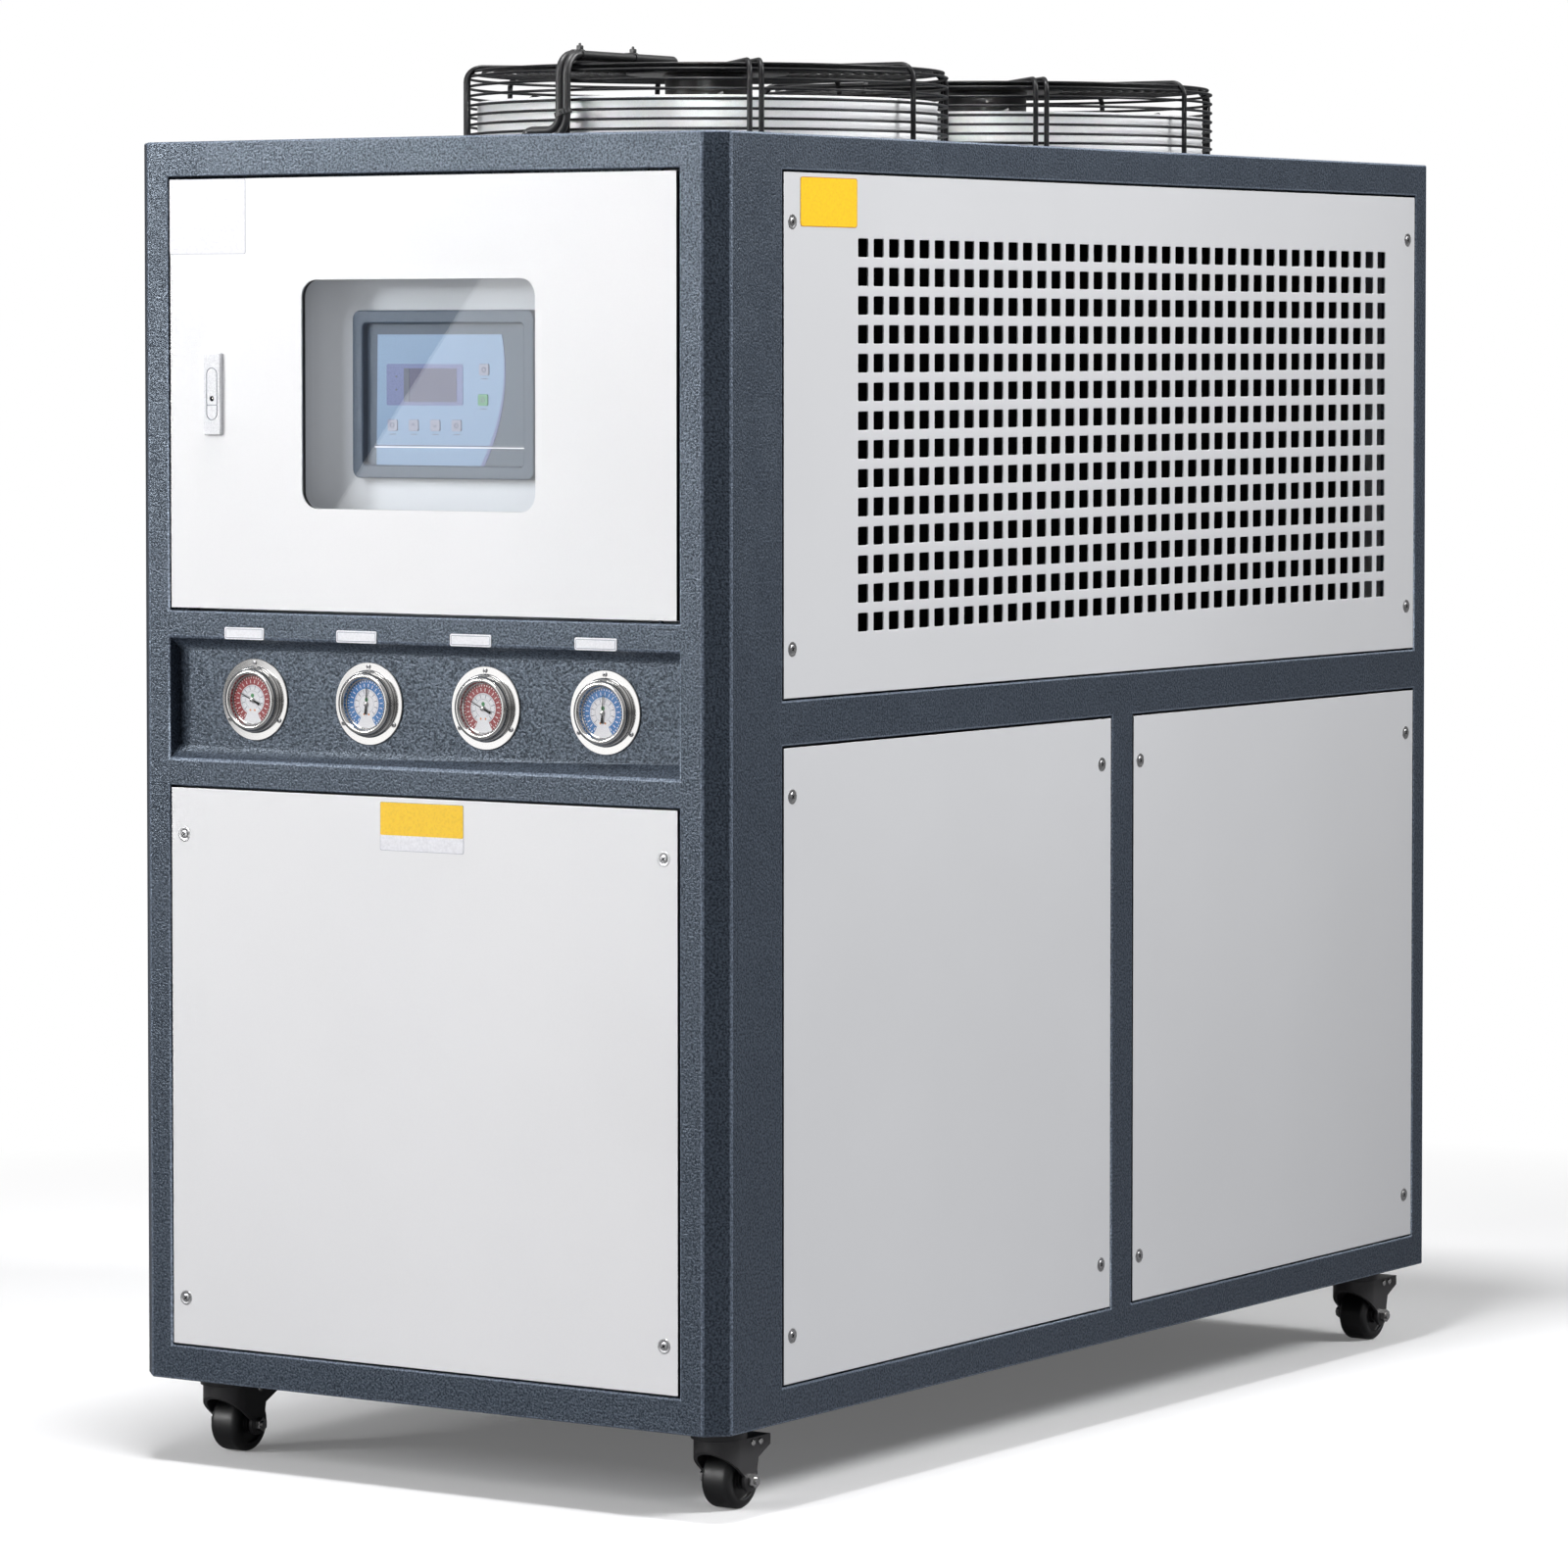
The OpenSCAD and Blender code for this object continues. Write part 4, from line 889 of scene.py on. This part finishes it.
for i in range(4):
    at = facing((i - 1.5) * GAUGE_STEP, seat_y, gauge_z)
    shells.append(turned(SHELL, M["chrome"], 72, at))
    for a in (90, 213, 327):
        t = math.radians(a)
        spot = Matrix.Translation((FLANGE_SCREW_R * math.cos(t), FLANGE_SCREW_R * math.sin(t), 2.0 * MM))
        shells.append(screw_mesh(at @ spot, 2.7, 1.5, False))
    disc = turned([(DIAL_R, 6.0), (0, 6.0)], M["blue" if i % 2 else "red"], 64, at)
    print_uv = disc.uv_layers.new(name="print").data
    back = at.inverted()
    for corner in disc.loops:
        p = back @ disc.vertices[corner.vertex_index].co
        print_uv[corner.index].uv = (p.x / (DIAL_R * MM), p.y / (DIAL_R * MM))
    prints.append(disc)
    swing = at @ Matrix.Rotation(math.radians(-3 if i % 2 else 66), 4, "Z")
    shells.append(plate(NEEDLE, 7.2, 7.7, M["dark"], swing))
    shells.append(turned([(2.6, 6.0), (2.6, 8.0), (1.8, 8.6), (0, 8.7)], M["chrome"], 24, at))
    lenses.append(turned([(26.9, 9.5), (26.9, 10.6), (14, 11.2), (0, 11.4)], M["lens"], 48, at))
show("gauge_shells", joined("gauge_shells", *shells), "cabinet", ["gauge_cases"])
show("gauge_prints", joined("gauge_prints", *prints), "cabinet", ["gauge_dials"], sharp=0)
show("gauge_glass", joined("gauge_glass", *lenses), "cabinet", ["gauge_lenses"])

# Fans
fan_y = [-236 * MM, 364 * MM]
SHROUD = [(256, -3), (256, 49.5), (256.6, 51.4), (258.4, 52.0), (260.2, 51.2), (260.6, 49.6), (260.0, 48.4),
          (259, 48), (259, 5.5), (260.5, 3.4), (263, 3.0), (269.6, 3.0), (270, 2.6), (270, 0.1)]
MOTOR = [(0, 47), (46, 47), (48, 49), (48, 80), (50, 83.6), (90, 83.6), (92, 84.4), (92, 85.6), (91, 86.6),
         (60, 86.6), (58, 88), (30, 89), (0, 89)]
NUT = [(4.2, 0), (4.2, 3.4), (3.4, 4.6), (1.8, 5.2), (0, 5.4)]
RIB_AT, RIB_AXIS, RIB_R, RIB_BEND, RIB_END, TWIN = 273.9, 89.6, 3.0, 16.0, 78, 6.5
SIDE_RINGS, SIDE_RING_R, SIDE_RING_Z, SIDE_RING_STEP = 7, 269.9, 15, 10.8
TOP_RINGS, TOP_RING_R, TOP_RING_Z, TOP_RING_STEP, RING_WIRE = 13, 265.9, 85.6, 13, 1.6
shrouds, motors, feet = [], [], []
for name, y in zip(("fan_guard_front", "fan_guard_rear"), fan_y):
    at = Matrix.Translation((0, y, top_z))
    shrouds.append(turned(SHROUD, M["zinc"], 128, at))
    motors.append(turned(MOTOR, M["black"], 48, at))
    motors.append(turned([(9, 12), (9, 47)], M["chrome"], 24, at))
    radii = [(SIDE_RING_R * MM, top_z + (SIDE_RING_Z + SIDE_RING_STEP * k) * MM) for k in range(SIDE_RINGS)]
    radii += [((TOP_RING_R - TOP_RING_STEP * k) * MM, top_z + TOP_RING_Z * MM) for k in range(TOP_RINGS)]

    def rib(turn, off):
        c, s = math.cos(math.radians(turn)), math.sin(math.radians(turn))
        path = [(RIB_AT, 0.0), (RIB_AT, RIB_AXIS), (RIB_END, RIB_AXIS)]
        path = [at @ (Vector((c * r - s * off, s * r + c * off, z)) * MM) for r, z in path]
        return bent(path, [RIB_BEND * MM])

    bars = []
    for a in range(0, 360, 90):
        bars += [rib(a, 0), rib(a + 45, TWIN), rib(a + 45, -TWIN)]
        foot = at @ Matrix.Rotation(math.radians(a + 45), 4, "Z")
        shape = [(x + RIB_AT + 5.0, z) for x, z in outline(16, 25, 1.5, 2)]
        feet.append(plate(shape, 0.0, 3.0, M["black"], foot, 0.6))
        for off in (-5, 5):
            spot = foot @ Matrix.Translation(((RIB_AT + 8.5) * MM, off * MM, 3.0 * MM))
            feet.append(turned(NUT, M["chrome"], 20, spot))
    hoops = rings(radii, (0, y), RING_WIRE * MM, M["wire"])
    wires = joined(name, hoops, tubes(bars, RIB_R * MM, M["wire"], 12))
    show(name + "_wires", wires, "cabinet", [name], sharp=60)
show("guard_feet", joined("guard_feet", *feet), "cabinet")
show("shroud_rings", joined("shrouds", *shrouds), "cabinet", ["fan_shrouds"])
show("motor_skins", joined("motors", *motors), "cabinet", ["fan_motors"])
for name in ("fan_rotor_front", "fan_rotor_rear"):
    show(name + "_skin", painted(rounded(name, 0.9 * MM), M["black"]), name, [name])

# Cable pair of the front fan, tied over the front rib of its guard
yc = fan_y[0]
CABLE_R, CABLE_OUT, CABLE_TOP, CABLE_TURN, CABLE_END = 4.5, 281.7, 97.4, 23.8, 72.9
runs = []
for x, low, bend, foot in ((4.75, 4.8, 25.5, -42.75), (-4.75, 14.3, 16.0, -52.25)):
    path = [(foot, -CABLE_OUT, 0.2), (foot, -CABLE_OUT, low), (x, -CABLE_OUT, low),
            (x, -CABLE_OUT, CABLE_TOP), (x, -CABLE_END, CABLE_TOP), (x, -CABLE_END, 86.6)]
    path = [Vector((a * MM, yc + b * MM, top_z + c * MM)) for a, b, c in path]
    runs.append(bent(path, [low * 0.8 * MM, bend * MM, CABLE_TURN * MM, 4.6 * MM]))
cable = [tubes(runs, CABLE_R * MM, M["rubber"], 16)]


def tie(at):
    """Band round the cable pair, across local Z, with its head and cut end on local Y."""
    band = outline(21.4, 11.4, 5.6)
    inner = outline(18.6, 8.8, 4.3)
    n = len(band)
    verts = [at @ (Vector((x, y, z)) * MM) for z in (-2.2, 2.2) for loop in (band, inner) for x, y in loop]
    faces = []
    for i in range(n):
        k = (i + 1) % n
        faces += [(i, k, 2 * n + k, 2 * n + i), (n + k, n + i, 3 * n + i, 3 * n + k),
                  (k, i, n + i, n + k), (2 * n + i, 2 * n + k, 3 * n + k, 3 * n + i)]
    head_at = at @ Matrix.Translation((3 * MM, 7.4 * MM, 0))
    tail_at = at @ Matrix.Translation((3 * MM, 10.6 * MM, 0))
    head = plate(outline(6.0, 5.2, 1.2, 2), -2.6, 2.6, M["rubber"], head_at, 0.5)
    tail = plate(outline(2.2, 4, 0.9, 2), -1.0, 1.0, M["rubber"], tail_at, 0.3)
    return joined("tie", painted(mesh("band", verts, faces), M["rubber"]), head, tail)


def on_cable(y, z, tilt):
    spot = Matrix.Translation((0, yc + y * MM, top_z + z * MM))
    return spot @ Matrix.Rotation(math.radians(tilt), 4, "X")


cable += [tie(on_cable(-254, CABLE_TOP, 90)), tie(on_cable(-152, CABLE_TOP, 90)),
          tie(on_cable(-CABLE_OUT, 33, 180) @ Matrix.Rotation(math.radians(16), 4, "Y"))]
show("fan_cable_skin", joined("cable", *cable), "cabinet", ["fan_cable"])

# Casters
RIVET = [(3.8, 0.0), (3.8, 0.6), (3.1, 1.5), (1.7, 2.0), (0, 2.1)]
plates = painted(rounded("caster_plates", 0.8 * MM), M["black"])
show("caster_plate_skins", plates, "cabinet", ["caster_plates"])
for s in ("fl", "fr", "rl", "rr"):
    fork_node, wheel_node = "caster_fork_" + s, "caster_wheel_" + s
    lo, hi = box(fork_node)
    axis = (lo.x + hi.x) / 2
    fork = rounded(fork_node, 0.7 * MM)
    two_tone(fork, M["fork"], M["chrome"], lambda f: abs(f.center.x - axis) > 27.3 * MM)
    rivets = []
    for side, turn in ((1, "right"), (-1, "left")):
        for dy in (24, 38):
            at = facing(axis + side * 27 * MM, lo.y + 27 * MM + dy * MM, 70.5 * MM, turn)
            rivets.append(turned(RIVET, M["chrome"], 20, at))
    show("fork_skin_" + s, joined("fork", fork, *rivets), fork_node, [fork_node])
    wheel = painted(rounded(wheel_node, 0.6 * MM), M["tread"])
    show("wheel_skin_" + s, wheel, wheel_node, [wheel_node])

# Water ports on the rear
ports = painted(rounded("water_ports", 0.8 * MM), M["brass"])
show("port_skins", ports, "cabinet", ["water_ports"])

# Door latch: plate with eased edges, a near-black key barrel as painted shade in the keyhole, and grey faces
# round the lever as painted shade in its groove
lo, hi = box("door_latch")
latch_x, latch_z = (lo.x + hi.x) / 2, (lo.z + hi.z) / 2


def plate_edge(v):
    """True on the front rim of the latch plate, outside its lever."""
    return v.y < lo.y + 0.02 * MM and max(abs(v.x - latch_x) - 9 * MM, abs(v.z - latch_z) - 42 * MM) > 0


latch = eased(clean(NODES["door_latch"].data), 1.4 * MM, 3, lambda a, b: plate_edge(a) and plate_edge(b))
key_at = facing(latch_x, lo.y, latch_z - 5.13 * MM)
barrel = turned([(2.95, -1.5), (2.6, -0.6), (1.9, -0.5), (1.7, -1.2), (0, -1.2)], M["dark"], 28, key_at)
pin_at = key_at @ Matrix.Translation((0.7 * MM, 0, 0))
pin = turned([(0.9, -1.2), (0.9, -0.5), (0, -0.4)], M["chrome"], 16, pin_at)


def groove(face):
    """True on the faces sunk round the lever."""
    x, y, z = face.center
    return y > lo.y + 0.3 * MM and abs(x - latch_x) < 10 * MM and abs(z - latch_z) < 34 * MM


# the sunk faces round the lever take grey: painted shade in the groove
two_tone(latch, M["latch"], M["edge"], groove)
show("latch_skin", joined("latch", latch, barrel, pin), "control_door", ["door_latch"])


# Blank labels; the grey rim of the white ones is painted shade along their edges
def label(name, w, h, at, key, body="cabinet", r=2.0, rim=0.8, rim_key="edge"):
    """A thin sheet with a narrow rim in a second colour."""
    parts = [plate(outline(w, h, r), 0.0, 0.25, M[rim_key], at),
             plate(outline(w - rim, h - rim, r), 0.25, 0.3, M[key], at)]
    show(name, joined(name, *parts), body)


LABEL_W, LABEL_H = 110, 52
# grey rim: painted shade along the label edges
label("rating_blank", 104, 81, facing(-281 * MM, front_y, Z0 + 1268.5 * MM), "paper", "control_door")
label("front_label", LABEL_W, LABEL_H, facing(5 * MM, front_y, Z0 + 618 * MM), "paper")
upper = plate(outline(109, 35, 1.6), 0.3, 0.36, M["yellow"], facing(5 * MM, front_y, Z0 + 626 * MM))
show("front_label_top", upper, "cabinet")
side_at = facing(right_x, -580 * MM, Z0 + 1279.5 * MM, "right")
label("side_label", LABEL_W, LABEL_H, side_at, "yellow", r=3.5, rim=1.4, rim_key="orange")
for i, x in enumerate((-232, -80.5, 70, 231)):
    at = facing(x * MM, front_y, Z0 + 818.5 * MM)
    parts = [plate(outline(53.5, 13, 2.0), 0.0, 1.2, M["paper"], at, 0.4),
             plate(outline(50.5, 10, 1.2), 1.2, 1.25, M["edge"], at),
             plate(outline(49.1, 8.6, 0.8), 1.25, 1.3, M["paper"], at)]
    show("gauge_plate_%d" % (i + 1), joined("gauge_plate", *parts), "cabinet")


# Studio
def world():
    w = bpy.data.worlds.new("studio")
    SCENE.world = w
    w.use_nodes = True
    tree = w.node_tree
    tree.nodes.clear()
    gen = V(tree, tree.nodes.new("ShaderNodeTexCoord").outputs["Generated"])
    up = gen.split()[2]
    seen = gen.node("ShaderNodeLightPath", out="Is Camera Ray").either(
        gen.node("ShaderNodeLightPath", out="Is Transmission Ray"))
    gloss = gen.node("ShaderNodeLightPath", out="Is Glossy Ray")
    dome = up.ramp(0.2, 0.9, 0.12, 0.20)
    mirrored = up.ramp(-0.1, 0.8, 0.12, 0.8)
    strength = (1.0 - gloss) * dome + gloss * mirrored
    light = gen.node("ShaderNodeBackground", {"Color": (1, 1, 1, 1), "Strength": strength})
    white = gen.node("ShaderNodeBackground", {"Color": (1, 1, 1, 1), "Strength": 1.0})
    both = gen.node("ShaderNodeMixShader", {0: seen, 1: light, 2: white})
    tree.links.new(both.socket, tree.nodes.new("ShaderNodeOutputWorld").inputs[0])


def floor():
    me = mesh("floor", [(-9, -9, 0), (9, -9, 0), (9, 9, 0), (-9, 9, 0)], [(0, 1, 2, 3)])
    mat = bpy.data.materials.new("floor")
    mat.use_nodes = True
    tree = mat.node_tree
    tree.nodes.clear()
    at = V(tree, tree.nodes.new("ShaderNodeTexCoord").outputs["Object"])
    x, y, _ = at.split()
    far = (x * x + y * y) ** 0.5
    seen = at.node("ShaderNodeLightPath", out="Is Camera Ray").either(
        at.node("ShaderNodeLightPath", out="Is Transmission Ray"))
    mirrored = at.node("ShaderNodeLightPath", out="Is Glossy Ray") * 0.25
    matt = at.node("ShaderNodeBsdfDiffuse", {"Color": seen.mix((0.25, 0.25, 0.26), (0.96, 0.96, 0.97))})
    glow = at.node("ShaderNodeEmission", {"Color": (1, 1, 1, 1), "Strength": seen.either(mirrored)})
    both = at.node("ShaderNodeMixShader", {0: far.ramp(1.4, 2.6, 0.13, 1.0), 1: matt, 2: glow})
    tree.links.new(both.socket, tree.nodes.new("ShaderNodeOutputMaterial").inputs[0])
    obj = bpy.data.objects.new("floor", me)
    SCENE.collection.objects.link(obj)
    me.materials.append(mat)


def lamp(name, where, aim, w, h, power, spin=0.0, spread=180.0):
    data = bpy.data.lights.new(name, "AREA")
    data.shape = "RECTANGLE"
    data.size, data.size_y, data.energy = w, h, power
    data.spread = math.radians(spread)
    obj = bpy.data.objects.new(name, data)
    SCENE.collection.objects.link(obj)
    obj.location = where
    look = (Vector(aim) - Vector(where)).to_track_quat("-Z", "Y").to_matrix().to_4x4()
    obj.rotation_euler = (look @ Matrix.Rotation(math.radians(spin), 4, "Z")).to_euler()
    obj.visible_camera = False


world()
floor()
lamp("key", (-4.09, -5.33, 2.25), (0.1, -0.786, 1.6), 1.1, 1.1, 19, 0, 62)
lamp("fill", (-1.48, -4.86, 3.7), (-0.15, -0.786, 1.35), 1.8, 1.8, 17.4, 0, 70)
lamp("side", (4.65, 2.16, 4.34), (0.386, -1.2, 1.45), 2.0, 2.0, 74, 0, 70)
lamp("card", (-1.279, -3.561, 0.72), (-0.04, -0.78, 1.0), 1.6, 1.6, 14, 58.0)
lamp("strip", (1.2, -4.6, 1.3), (0.2, -0.78, 0.9), 0.16, 2.6, 3)
lamp("top", (0.3, -1.15, 6.2), (0.1, -0.5, 0.0), 1.2, 1.2, 300)
lamp("fans", (1.6, -2.6, 1.51), (0.0, 0.06, 1.51), 1.5, 0.10, 0.26, 0, 3)
lamp("niche", (-0.04, -0.773, 1.169), (-0.04, 0.0, 1.169), 0.34, 0.26, 0.11)
